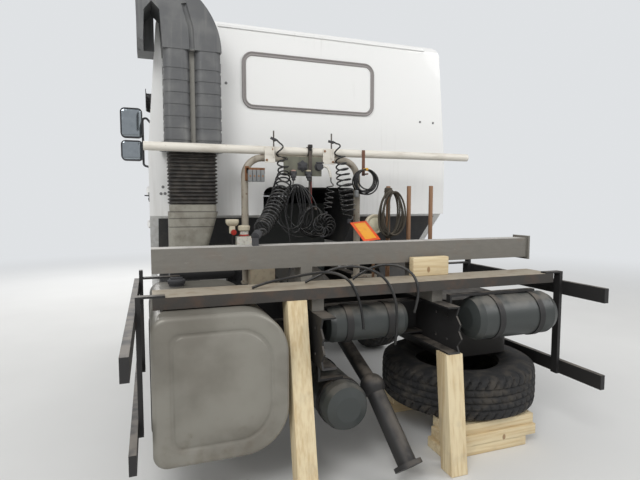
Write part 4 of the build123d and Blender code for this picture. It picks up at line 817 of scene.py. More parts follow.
def set_lamps():
    """Three large round lamps, each turned towards its target."""
    for name, place, target, size, power in (
            ("lamp_high_left", (4.5, 6.5, 7.0), (0, 0, 1.2), 4.0, 330),
            ("lamp_high_right", (-6.0, 5.0, 5.5), (0, 0.5, 1.2), 4.0, 170),
            ("lamp_front", (2.5, -8.0, 5.5), (0, -1.5, 1.5), 5.0, 330)):
        data = bpy.data.lights.new(name, "AREA")
        data.shape, data.size, data.energy = "DISK", size, power
        lamp = bpy.data.objects.new(name, data)
        lamp.location = place
        lamp.rotation_euler = (Vector(target) - Vector(place)).to_track_quat("-Z", "Y").to_euler()
        bpy.context.scene.collection.objects.link(lamp)


def set_camera():
    """The camera, where the photograph was taken from: its turn from the -Y direction, and its dip."""
    turn, dip = math.radians(19.65), math.radians(4.4)
    way = Vector((-math.sin(turn) * math.cos(dip), -math.cos(turn) * math.cos(dip), -math.sin(dip)))
    data = bpy.data.cameras.new("camera")
    data.lens, data.sensor_width = 26.775, 36
    camera = bpy.data.objects.new("camera", data)
    camera.location = (1.25, 3.88, 1.56)
    camera.rotation_euler = way.to_track_quat("-Z", "Y").to_euler()
    bpy.context.scene.collection.objects.link(camera)
    bpy.context.scene.camera = camera


def lay_stage(sizes):
    """The floor, the light and the camera."""
    lay_floor(sizes.floor_half)
    light_world(sizes.world_light)
    set_lamps()
    set_camera()
    bpy.context.scene.view_settings.view_transform = "Standard"


# Cords

def cord_curve(name, points, diameter, finish="hose_rubber", resolution=3):
    """A round cord on one smooth spline through these control points."""
    points = np.array(points, float)
    curve = bpy.data.curves.new(name, "CURVE")
    curve.dimensions = "3D"
    curve.bevel_depth = diameter / 2
    curve.bevel_resolution = 3
    curve.resolution_u = resolution
    curve.use_fill_caps = True
    spline = curve.splines.new("NURBS")
    spline.points.add(len(points) - 1)
    spline.points.foreach_set("co", np.column_stack([points, np.ones(len(points))]).ravel())
    spline.order_u = 3
    spline.use_endpoint_u = True
    curve.materials.append(bpy.data.materials[finish])
    made = bpy.data.objects.new(name, curve)
    bpy.context.scene.collection.objects.link(made)
    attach(made, "chassis")
    return made


def centreline(made):
    """The points and the length of a cord's own line."""
    plain = made.copy()
    plain.data = made.data.copy()
    plain.data.bevel_depth = 0
    mesh = bpy.data.meshes.new_from_object(plain)
    points = np.zeros(3 * len(mesh.vertices))
    mesh.vertices.foreach_get("co", points)
    points = points.reshape(-1, 3)
    bpy.data.meshes.remove(mesh)
    bpy.data.objects.remove(plain)
    return points, float(np.linalg.norm(np.diff(points, axis=0), axis=1).sum())


def wound(axis_points, table, start=0.0):
    """A cord wound round a bent axis. The table gives rows of (share of the axis, radius, pitch), and both go
    smoothly between them. The phase is the sum of every step's length over its pitch, and each point is the
    axis point plus the radius along a direction that turns with the phase, square to the axis. The points
    are spread by the turns plus the reach over a spacing, so a straight stretch has some too."""
    line = smoothed(axis_points, 400)
    reach = reached(line)
    share = reach / reach[-1]
    table = np.array(table, float)
    radius, pitch = (np.interp(share, table[:, 0], table[:, column]) for column in (1, 2))
    easing = np.hanning(13) / np.hanning(13).sum()
    radius = np.convolve(np.pad(radius, 6, "edge"), easing, "valid")
    turn = np.concatenate([[0], np.cumsum(np.diff(reach) / (pitch[1:] + pitch[:-1]) * 2)])
    way = units(np.gradient(line, axis=0))
    side = units(np.cross(way, np.array([1.0, 0.0, 0.0])))
    other = np.cross(way, side)
    per_turn, spacing = 14, 0.25
    stop = turn + reach / spacing
    wanted = np.linspace(0, stop[-1], int(stop[-1] * per_turn) + 1)
    place = np.interp(wanted, stop, np.arange(len(stop)))

    def at(values):
        columns = values.reshape(len(values), -1)
        return np.stack([np.interp(place, np.arange(len(values)), column) for column in columns.T], 1)

    angle = 2 * math.pi * at(turn)[:, 0] + start
    size = at(radius)[:, 0] * (1 - 0.06 * (1 + np.sin(1.7 * angle / math.tau)) / 2)
    return at(line) + size[:, None] * (np.cos(angle)[:, None] * at(side) + np.sin(angle)[:, None] * at(other))


def bridged(first, second, count, pull=1.0):
    """Two lines and a smooth way between them, which leaves and arrives along each line's own direction."""
    gap = float(np.linalg.norm(second[0] - first[-1])) * pull
    leave, arrive = unit(first[-1] - first[-2]) * gap, unit(second[1] - second[0]) * gap
    t = np.linspace(0, 1, count)[1:-1, None]
    way = ((2 * t ** 3 - 3 * t ** 2 + 1) * first[-1] + (t ** 3 - 2 * t ** 2 + t) * leave
           + (3 * t ** 2 - 2 * t ** 3) * second[0] + (t ** 3 - t ** 2) * arrive)
    return np.concatenate([first, way, second])


def fitting(end, way, radius, length, name):
    """A crimped hose fitting: a sleeve with two grooves and a hexagon behind it. Both profiles are in shares
    of the radius and the length."""
    crimped = [(0, -1), (0.9, -1), (1, -0.9), (1, -0.6), (0.85, -0.57), (1, -0.52), (1, -0.3), (0.85, -0.27),
               (1, -0.22), (1, 0), (0, 0)]
    hexagon = [(0, 0), (1.25, 0), (1.25, 0.35), (0.7, 0.4), (0.7, 0.6), (0, 0.6)]
    end = np.array(end, float)
    sleeve = turned(np.multiply(crimped, (radius, length)), end, way, 18)
    nut = turned(np.multiply(hexagon, (radius, length)), end, way, 6)
    return piece(name, [sleeve, nut], "chassis", "dark_plastic")


def hang_coil(side, start, line, hook_way, thick):
    """The cord of one coiled hose, and the fitting at the hook where it starts."""
    hook = fitting(start + HOOK_SHIFT, hook_way, 0.0095, 0.03, side + "_hook")
    made = cord_curve(side + "_coiled_hose", line, thick, "coil_nylon")
    return made, hook


def hang_left_coil(sizes):
    """The left coiled hose: from its hook, round small loose loops, and along the big coil to the coupling on
    the cross beam."""
    thick = sizes.hose_diameter
    start = np.array([0.395, *HOOK_PLACE])
    axis = [start, (0.385, 0.541, 2.014), (0.366, 0.545, 1.985), (0.353, 0.549, 1.93), (0.346, 0.553, 1.86),
            (0.345, 0.566, 1.80), (0.355, 0.600, 1.745), (0.385, 0.690, 1.670), (0.470, 0.850, 1.560),
            (0.570, 1.010, 1.450), (0.655, 1.140, 1.391), (0.660, 1.150, 1.385)]
    coil_length = 0.62
    pitch = coil_length / sizes.left_turns
    table = [(0, 0, 0.2), (0.03, 0, 0.2), (0.09, 0.038, 0.11), (0.16, 0.040, 0.06), (0.25, 0.036, 0.045),
             (0.31, 0.052, 0.055), (0.36, 0.060, 1.55 * pitch), (0.62, 0.057, 1.15 * pitch),
             (0.8, 0.051, 0.92 * pitch), (0.93, 0.047, 0.60 * pitch), (0.965, 0.036, 0.12), (1, 0.004, 0.25)]
    line = wound(axis, table)
    made, hook = hang_coil("left", start, line, (-0.87, 0.22, -0.43), thick)
    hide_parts("coil_lead_left", "coil_hose_left")
    length = centreline(made)[1]


def hang_right_coil(sizes):
    """The right coiled hose: from its hook, round loose loops, down the coil to a free coupling."""
    thick = sizes.hose_diameter
    start = np.array([-0.045, *HOOK_PLACE])
    end = np.array([-0.122, 0.670, 1.424])
    axis = [start, (-0.056, 0.541, 2.015), (-0.082, 0.547, 1.985), (-0.094, 0.554, 1.93),
            (-0.098, 0.568, 1.87), (-0.100, 0.586, 1.815), (-0.108, 0.610, 1.700), (-0.114, 0.640, 1.600),
            (-0.120, 0.660, 1.500), (-0.122, 0.669, 1.440), end]
    coil_length = 0.38
    pitch = coil_length / sizes.right_turns
    table = [(0, 0, 0.2), (0.04, 0, 0.2), (0.12, 0.038, 0.11), (0.22, 0.040, 0.06), (0.3, 0.038, 0.045),
             (0.38, 0.048, 0.04), (0.5, 0.055, 1.1 * pitch), (0.88, 0.052, 0.9 * pitch), (0.94, 0.038, 0.12),
             (1, 0.004, 0.25)]
    line = wound(axis, table, start=0.8)
    line[-1] = end
    made, hook = hang_coil("right", start, line, (-0.93, 0.24, -0.25), thick)
    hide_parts("coil_lead_right", "coil_hose_right")
    coupling = fitting(end, (0, 0.1, -1), 0.014, 0.022, "right_hose_coupling")
    length = centreline(made)[1]


def loop_ways(turn, top, wide, low):
    """How far a hung loop goes across and down at each share of its turn: its top is as wide as the first
    value, its bottom as the second, and it reaches down by twice the third. Across is the sine of the angle
    times a width that goes from top to bottom, and down is one less its cosine."""
    angle = 2 * math.pi * turn
    across = np.sin(angle) * (top + (wide - top) * (1 - np.cos(angle)) / 2)
    return across, low * (1 - np.cos(angle))


def hang_pile(sizes):
    """The slack hose over its pin: long loops that differ in width, length and tilt, then a bunch of small
    turns that stand round a ring beside them. Each value goes evenly from one loop to the next, so the line
    stays smooth."""
    thick = sizes.hose_diameter * 0.85
    chance = np.random.default_rng(11)
    loops, per_loop, top = 8, 20, 0.058
    turn = np.arange(int((loops + 0.25) * per_loop) + 1) / per_loop
    knots = np.arange(loops + 2)

    def from_loop(low, high):
        return np.interp(turn, knots, low + (high - low) * chance.random(loops + 2))

    wide, low = from_loop(0.070, 0.160), from_loop(0.085, 0.122)
    tilt = from_loop(-0.42, 0.42)
    across, down = loop_ways(turn, top, wide, low)
    pin_x, pin_y, pin_z = PILE_TOP
    loop_step, sway_height = 0.0095, 0.06
    x = pin_x + across * np.cos(tilt) + down * np.sin(tilt) * 0.8
    z = pin_z - down * np.cos(tilt) + across * np.sin(tilt) * down / (down + sway_height)
    line = np.stack([x, pin_y + loop_step * turn, z], 1)
    ring_x, ring_y, ring_z = 0.062, 0.644, 1.40
    petals, ring_radius, petal_radius, wave = 12, 0.051, 0.033, 0.012
    share = np.linspace(0, 1, petals * 16)
    round_ring = 2 * math.pi * (-0.14 - 1.04 * share)
    small = 2 * math.pi * (-0.25 - (petals + 1.04) * share)
    ring = np.stack([ring_x + ring_radius * np.cos(round_ring) + petal_radius * np.cos(small),
                     ring_y - wave * np.sin(small - round_ring),
                     ring_z + ring_radius * np.sin(round_ring) + petal_radius * np.sin(small)], 1)
    line = bridged(line, ring, 12, 1.1)
    made = cord_curve("slack_hose", line, thick)
    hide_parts("hose_pile")
    coupling = fitting(line[-1], line[-1] - line[-2], 0.011, 0.02, "slack_hose_coupling")
    length = centreline(made)[1]


def hang_hank(sizes):
    """The wound cable on its strap hook, with a grey connector and a yellow tie. Each turn's radius and drift
    go evenly to the next one's, and every turn touches the hook at its top."""
    thick = sizes.cable_diameter
    radii = [0.098, 0.064, 0.108, 0.078, 0.112, 0.058, 0.094, 0.080, 0.08]
    drifts = [0, -0.006, 0.005, 0.008, -0.007, 0.004, -0.004, 0.0, 0.0]
    turns, per_turn = len(radii) - 2, 16
    turn = np.arange(int((turns + 0.25) * per_turn) + 1) / per_turn
    angle = math.pi / 2 - 2 * math.pi * turn
    radius, drift = (np.interp(turn, np.arange(len(values)), values) for values in (radii, drifts))
    hook_x, hook_y, hook_z = HANK_TOP
    turn_step = 0.0066
    line = np.stack([hook_x + drift + radius * np.cos(angle), hook_y + turn_step * turn,
                     hook_z - radius * (1 - np.sin(angle))], 1)
    tail = np.array([(-0.2185, 0.592, 1.700), (-0.218, 0.5885, 1.678), (-0.218, 0.585, 1.655)])
    line = np.concatenate([line, tail])
    made = cord_curve("wound_cable", line, thick)
    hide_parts("cable_hank")
    body = turned([(0, 0), (0.012, 0), (0.0165, 0.006), (0.0165, 0.022), (0.0145, 0.024), (0.0145, 0.028),
                   (0.0175, 0.03), (0.0175, 0.05), (0.0155, 0.053), (0.012, 0.053), (0.012, 0.04), (0, 0.04)],
                  tail[-1] + (0, 0, 0.004), (0, 0, -1), 20)
    connector = piece("cable_connector", [body], "chassis", "grey_connector")
    tie = block((-0.309, 0.5395, 1.8055), (-0.289, 0.6035, 1.8265), 0.006)
    length = centreline(made)[1]
    piece("cable_tie", [tie], "chassis", "yellow_plastic")


def hung(pin, rows, top=0.06, start=0.0):
    """Loops hung from one place. Each row is one loop's (width, half its height, tilt, depth behind the pin),
    and the values go evenly from one loop to the next. A loop goes out by its width, down by twice its half
    height, and leans by its tilt. The line ends on the right side, on the way down."""
    loops, per_loop = len(rows) - 1, 20
    turn = np.arange(int((loops + 0.25 - start) * per_loop) + 1) / per_loop + start
    wide, low, tilt, depth = (np.interp(turn, np.arange(len(rows)), column) for column in zip(*rows))
    across, down = loop_ways(turn, top, wide, low)
    return np.stack([pin[0] + across * np.cos(tilt) + down * np.sin(tilt), pin[1] + depth,
                     pin[2] - down * np.cos(tilt) + across * np.sin(tilt)], 1)


def hang_leads():
    """The board's own leads: a bunch of spare loops tied under the left plug, and a taped lead with a small
    coil."""
    thin = 0.0085
    loops = hung((0.262, 0.572, 1.690),
                 [(0.05, 0.12, -0.2, 0.0), (0.13, 0.20, 0.42, 0.011), (0.06, 0.135, -0.55, 0.022),
                  (0.15, 0.17, 0.60, 0.034), (0.08, 0.205, -0.75, 0.045), (0.12, 0.125, 0.15, 0.056),
                  (0.065, 0.19, -0.38, 0.067), (0.14, 0.15, 0.50, 0.078), (0.10, 0.17, 0.1, 0.088)],
                 start=0.25)
    lead = np.array([(0.265, 0.5455, 1.745), (0.266, 0.5500, 1.722), (0.272, 0.5550, 1.690)])
    tail = np.array([(0.338, 0.678, 1.36), (0.330, 0.690, 1.24), (0.335, 0.704, 1.13), (0.357, 0.718, 1.03),
                     (0.380, 0.728, 0.962)])
    line = bridged(bridged(lead, loops, 6, 0.8), tail, 6, 0.8)
    made = cord_curve("plug_lead", line, thin, "coil_nylon")
    centreline(made)[1]
    tie = block((0.250, 0.566, 1.684), (0.276, 0.640, 1.698), 0.005)
    piece("lead_tie", [tie], "chassis", "dark_plastic")

    axis = [(0.047, 0.551, 1.829), (0.030, 0.563, 1.833), (0.010, 0.577, 1.822), (-0.002, 0.586, 1.79),
            (-0.010, 0.590, 1.745), (-0.006, 0.592, 1.69), (0.004, 0.596, 1.62), (0.018, 0.600, 1.55),
            (0.030, 0.604, 1.50), (0.034, 0.606, 1.48)]
    table = [(0, 0, 0.2), (0.36, 0, 0.2), (0.48, 0.030, 0.05), (0.84, 0.032, 0.030), (0.92, 0.024, 0.09),
             (1, 0.004, 0.2)]
    line = wound(axis, table, start=2.2)
    line[-1] = axis[-1]
    made = cord_curve("taped_lead", line, thin, "coil_nylon")
    middle, length = centreline(made)
    taped, tape_radius = 0.125, 0.010
    sleeve = swept(middle[reached(middle) < taped], circle(tape_radius, 14), (0, 1, 0))
    sleeve = piece("white_tape", [sleeve], "chassis", "white_hose")
    coupling = fitting(axis[-1], (0.1, 0.05, -1), 0.010, 0.02, "taped_lead_coupling")


def hang_rope():
    """The old rope that hangs in loops from the first stake, tied round it."""
    thick = 0.013
    line = hung((STAKE_X, 0.902, ROPE_TOP),
                [(0.07, 0.14, 0.10, 0.004), (0.09, 0.165, -0.26, 0.014), (0.065, 0.13, 0.24, 0.024),
                 (0.10, 0.17, -0.14, 0.034), (0.07, 0.15, 0.30, 0.043), (0.095, 0.16, -0.05, 0.052),
                 (0.06, 0.135, 0.2, 0.061), (0.085, 0.165, -0.2, 0.070)], top=0.067)
    tail = line[-1] + np.array([(0.004, 0.0, -0.045), (0.004, 0.0, -0.085), (0.002, 0.0, -0.12)])
    line = bridged(line, tail, 4)
    made = cord_curve("stake_rope", line, thick, "rope_fibre", 4)
    length = centreline(made)[1]
    knot = turned([(0.0165, -0.03), (0.026, -0.026), (0.029, -0.015), (0.0265, -0.006), (0.029, 0.004),
                   (0.0265, 0.013), (0.028, 0.022), (0.020, 0.03), (0.0165, 0.03), (0.0165, -0.03)],
                  (STAKE_X, 0.880, ROPE_TOP), (0, 0, 1), 32, lambda angle: 1 + 0.05 * np.sin(3 * angle))
    lump = turned([(0, -0.02), (0.012, -0.017), (0.019, -0.006), (0.019, 0.006), (0.012, 0.017), (0, 0.02)],
                  (STAKE_X, 0.912, 1.637), (0.2, 1, 0.1), 20, lambda angle: 1 + 0.12 * np.sin(2 * angle))
    knot = piece("rope_knot", [knot, lump], "chassis", "rope_fibre", sharp=70)


def lay_cut_hoses():
    """The three hoses that hang cut off over the deck."""
    routes = {
        "a": [(0.745, 1.380, 1.1083), (0.690, 1.385, 1.128), (0.610, 1.384, 1.142), (0.530, 1.388, 1.154),
              (0.440, 1.392, 1.168), (0.350, 1.402, 1.178), (0.275, 1.428, 1.172), (0.222, 1.468, 1.140),
              (0.190, 1.496, 1.084), (0.168, 1.508, 1.010), (0.150, 1.506, 0.930), (0.140, 1.498, 0.860)],
        "b": [(0.420, 1.300, 1.1083), (0.350, 1.310, 1.140), (0.270, 1.330, 1.180), (0.180, 1.362, 1.200),
              (0.090, 1.406, 1.192), (0.020, 1.456, 1.160), (-0.026, 1.496, 1.096), (-0.050, 1.512, 1.020),
              (-0.062, 1.512, 0.930), (-0.066, 1.504, 0.840), (-0.060, 1.496, 0.750)],
        "c": [(0.120, 1.290, 1.1083), (0.060, 1.300, 1.150), (-0.020, 1.320, 1.187), (-0.100, 1.356, 1.198),
              (-0.160, 1.412, 1.182), (-0.196, 1.468, 1.142), (-0.206, 1.500, 1.076), (-0.196, 1.512, 1.000),
              (-0.176, 1.508, 0.930)],
    }
    for name, route in routes.items():
        made = cord_curve("cut_hose_" + name, route, 0.016, resolution=8)
        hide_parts("cut_hoses")
        length = centreline(made)[1]


# Rubber

def tyre(centre, axis, blocks):
    """A tyre as a closed ring: its section runs from one bead over the tread to the other and back inside.
    Where the section is the tread, the radius drops into four grooves round the tyre and into cross cuts
    that repeat with the angle. Lower down, shallow notches stand round both shoulders."""
    half_tread, crown, groove_depth, notch_depth = 0.118, 0.5245, 0.014, 0.004
    side = [(0.2863, -0.103), (0.292, -0.116), (0.310, -0.119), (0.345, -0.138), (0.386, -0.1475),
            (0.43, -0.1462), (0.468, -0.139), (0.495, -0.132), (0.508, -0.124)]
    tread = [(crown - 0.010 * (x / half_tread) ** 4, x) for x in np.linspace(-half_tread, half_tread, 33)]
    outer = side + tread + [(radius, -x) for radius, x in side[::-1]]
    inner = [(0.2863, 0.085), (0.32, 0.108), (0.38, 0.128), (0.44, 0.126), (0.485, 0.1), (0.498, 0.0),
             (0.485, -0.1), (0.44, -0.126), (0.38, -0.128), (0.32, -0.108), (0.2863, -0.085)]
    section = np.array(outer + inner)
    x = section[:, 1]
    outside = np.arange(len(section)) < len(outer)
    on_tread = outside & (section[:, 0] > 0.505)
    angle = np.linspace(0, 2 * math.pi, 8 * blocks, endpoint=False)
    inner_groove, outer_groove = 0.022, 0.066
    places = (-outer_groove, -inner_groove, inner_groove, outer_groove)
    grooves = sum(smooth(0.0085, 0.0055, np.abs(x - place)) for place in places)
    wobble = 0.35 * np.sin(x / 0.03) + np.where(np.abs(x) < inner_groove, 0.5, 0)
    phase = (angle[:, None] * blocks / (2 * math.pi) + wobble[None]) % 1
    strength = np.where(np.abs(x) > outer_groove, 1.0, 0.55)
    cuts = smooth(0.74, 0.80, phase) * smooth(1.0, 0.94, phase) * strength[None]
    cuts = np.maximum(np.clip(grooves, 0, 1)[None], cuts)
    shoulder = smooth(0.009, 0.004, np.abs(section[:, 0] - 0.497))
    notches = smooth(0.0, 0.3, np.sin(angle * blocks))[:, None] * shoulder
    radius = section[:, 0][None] - groove_depth * cuts * on_tread[None]
    radius = radius - notch_depth * notches * outside[None]
    first, second = around(axis)
    way = np.cos(angle)[:, None] * first + np.sin(angle)[:, None] * second
    grid = np.asarray(centre) + radius[..., None] * way[:, None] + x[None, :, None] * unit(axis)
    return skin(grid, ring=True)


def fit_tyres(sizes):
    """Tyres with their tread: one on each wheel, and the one that lies among the props."""
    axle_half, axle_y, axle_z = 1.03, -0.81, 0.525
    for side, name in ((1, "left"), (-1, "right")):
        piece("tread_" + name, [tyre((side * axle_half, axle_y, axle_z), (1, 0, 0), sizes.tread_blocks)],
              "wheel_" + name, "tyre_black", ["tyre_" + name], 40)
    low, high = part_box("prop_tyre")
    middle = (np.array(low) + np.array(high)) / 2
    piece("tread_spare", [tyre(middle, (0, 0, 1), sizes.tread_blocks)], "chassis", "tyre_black",
          ["prop_tyre"], 40)


def fit_bellows(sizes):
    """The intake bellows: a rounded rectangle carried upwards, drawn in between its folds, and the clamp
    round its upper end."""
    middle_x, middle_y = 0.957, 0.325
    folds = sizes.bellows_folds
    rows = np.linspace(0, 1, folds * 8 + 1)
    wave = (0.5 - 0.5 * np.cos(2 * math.pi * folds * rows)) ** 0.7
    outer = rounded(0.339, 0.240, 0.04, 8)
    inner = rounded(0.305, 0.206, 0.03, 8)
    flat = inner[None] + (outer - inner)[None] * wave[:, None, None]
    low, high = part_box("intake_bellows")
    grid = np.zeros(flat.shape[:2] + (3,))
    grid[..., 0] = middle_x + flat[..., 0]
    grid[..., 1] = middle_y + flat[..., 1]
    grid[..., 2] = low[2] + (high[2] - low[2]) * rows[:, None]
    narrow, wide = rounded(0.318, 0.219, 0.034, 8), rounded(0.343, 0.244, 0.042, 8)
    bottom, top = high[2] - 0.022, high[2] - 0.003
    rings = [np.column_stack([middle_x + ring[:, 0], middle_y + ring[:, 1], np.full(len(ring), height)])
             for ring, height in ((narrow, bottom), (wide, bottom), (wide, top), (narrow, top))]
    piece("folded_bellows", [skin(grid)], "cab", "bellows_rubber", ["intake_bellows"], 60)
    piece("bellows_clamp", [skin(np.stack(rings), ring=True)], "cab", "zinc")


# Wood and tank

def stand_wood():
    """The two leaning posts, the block on the deck and the two stacks of boards under the tyre. A post is a
    square with rounded corners carried upwards, drawn in at its ends, and moved along Y by its lean times the
    share of its height that is left."""
    half = 0.055
    levels = ((0, 0.003), (0.003, 0), (0.3, 0), (0.6, 0), (0.85, 0), (0.999, 0), (1.0, 0.002))
    posts = []
    for x, top_y, top_z, lean in ((0.520, 1.476, 1.040, 0.215), (-0.385, 1.612, 0.690, 0.075)):
        square = outline([(x - half, -half), (x + half, -half), (x + half, half), (x - half, half)],
                         [0.004] * 4, 3)
        points, faces = stacked(square, [(top_z * level, inset) for level, inset in levels], 2)
        points[:, 1] += top_y - half + lean * (1 - points[:, 2] / top_z)
        posts.append((points, faces))
    piece("pine_posts", posts, "chassis", "pine_upright", ["wood_props"])
    boards = [block((-0.560, 1.230, 1.1003), (-0.300, 1.284, 1.22), 0.005, axis=0)]
    for low, high, x_from, x_to, slide in ((0.0, 0.066, -1.01, -0.40, -0.008),
                                           (0.0663, 0.133, -1.08, -0.42, 0.0),
                                           (0.1333, 0.199, -1.07, -0.44, -0.014)):
        for y in (0.73, 1.43):
            boards.append(block((x_from, y - 0.1 + slide, low), (x_to, y + 0.1 + slide, high), 0.004, axis=0))
    piece("pine_boards", boards, "chassis", "pine_wood", ["wood_props"])


def fit_tank():
    """The fuel tank: its outline carried along Y, drawn in by a quarter circle at both ends, with a shallow
    pressed line round each end face, and its filler cap."""
    low, high = (np.array(corner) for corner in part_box("fuel_tank"))
    shape = outline([(low[0], low[2]), (high[0], low[2]), (high[0], high[2]), (low[0], high[2])],
                    [0.229, 0.069, 0.069, 0.229], 12)
    turn = np.linspace(0, math.pi / 2, 6)
    edge = 0.024
    levels = [(high[1] - edge * (1 - math.cos(angle)), edge * (1 - math.sin(angle))) for angle in turn]
    press = [(0, 0.060), (0, 0.078), (0.003, 0.082), (0.0065, 0.087), (0.0065, 0.095), (0.003, 0.100),
             (0, 0.104), (0, 0.19), (0, 0.3)]
    end = [(high[1] - depth, inset) for depth, inset in press[::-1]] + levels
    start = [(low[1] + high[1] - place, inset) for place, inset in end[::-1]]
    shell = stacked(shape, end + start, 1)
    piece("tank_shell", [shell], "chassis", "tank_metal", ["fuel_tank"], 40)
    neck = turned([(0, -0.01), (0.046, -0.01), (0.046, 0.012), (0.052, 0.014), (0.055, 0.02), (0.055, 0.036),
                   (0.050, 0.042), (0, 0.044)], (1.10, 0.72, high[2]), (0, 0, 1), 36)
    grip = block((1.062, 0.711, high[2] + 0.04), (1.138, 0.729, high[2] + 0.056), 0.004)
    piece("filler_cap", [neck, grip], "chassis", "dark_plastic")


# Seats

def pad(low, high, power, crown, channels=0):
    """A stuffed form: a ball drawn out to a box by a power below one, so its edges stay round. Its sides are
    tucked in between the corners, its faces swell by the crown, a seam runs round it, and sewn channels press
    into its upper face."""
    low, high = np.array(low, float), np.array(high, float)
    half, middle = (high - low) / 2, (high + low) / 2
    tall = np.linspace(-math.pi / 2, math.pi / 2, 33)[:, None]
    turn = np.linspace(0, 2 * math.pi, 64, endpoint=False)[None]

    def drawn(value):
        return np.sign(value) * np.abs(value) ** power

    x = drawn(np.cos(tall)) * drawn(np.cos(turn))
    y = drawn(np.cos(tall)) * drawn(np.sin(turn))
    z = drawn(np.sin(tall)) + 0 * turn
    tuck, seam_depth, seam_height, seam_width = 0.045, 0.012, 0.35, 0.06
    pull = 1 - tuck * (1 - np.clip(np.abs(x * y), 0, 1)) * np.cos(tall) ** 2
    swell = 1 + crown * (1 - x**2) * (1 - y**2) - crown
    seam = seam_depth * np.exp(-((z - seam_height) / seam_width) ** 2)
    grid = np.stack([x * (pull - seam), y * (pull - seam), z * swell], -1)
    if channels:
        depth = 0.008
        rows = np.abs(((x * channels / 2) % 1) - 0.5)
        press = smooth(0.42, 0.5, rows) * smooth(0.3, 0.8, z)
        grid[..., 2] -= press * depth / half[2]
    return skin(grid * half + middle, caps=False)


def fit_seats():
    """Two seats and the bunk: padded cushions on plain bases."""
    seat_x, bunk_half, bunk_back, lean = 0.74, 1.10, 0.128, 78
    for side, name in ((1, "left"), (-1, "right")):
        x = seat_x * side
        cushion = pad((x - 0.25, -1.20, 1.555), (x + 0.25, -0.70, 1.68), 0.35, 0.12, 5)
        back = pad((x - 0.235, -0.85, 1.66), (x + 0.235, -0.18, 1.80), 0.35, 0.14, 4)
        back = tilted(back, np.array([x, -0.74, 1.68]), math.radians(lean))
        rest = pad((x - 0.13, -0.625, 2.352), (x + 0.13, -0.535, 2.52), 0.4, 0.05)
        for part, label in ((cushion, "cushion"), (back, "backrest"), (rest, "headrest")):
            made = piece(name + "_" + label, [part], "cab", "seat_cloth", ["seats_and_bunk"],
                         60)
        base = [block((x - 0.17, -1.12, 1.2505), (x + 0.17, -0.76, 1.30), 0.01),
                block((x - 0.13, -1.08, 1.29), (x + 0.13, -0.80, 1.52), 0.03),
                block((x - 0.22, -1.17, 1.52), (x + 0.22, -0.72, 1.557), 0.012)]
        base += [rod((x + shift, -0.585, 2.29), (x + shift, -0.58, 2.38), 0.006) for shift in (-0.05, 0.05)]
        piece(name + "_seat_base", base, "cab", "dark_plastic", ["seats_and_bunk"])
    mattress = pad((-bunk_half, -0.39, 1.775), (bunk_half, bunk_back, 1.90), 0.22, 0.08)
    made = piece("bunk_mattress", [mattress], "cab", "seat_cloth", ["seats_and_bunk"], 60)
    board = block((-bunk_half, -0.37, 1.7305), (bunk_half, bunk_back, 1.777), 0.012)
    piece("bunk_board", [board], "cab", "lining", ["seats_and_bunk"])


# Small fittings on the hose rack and round it

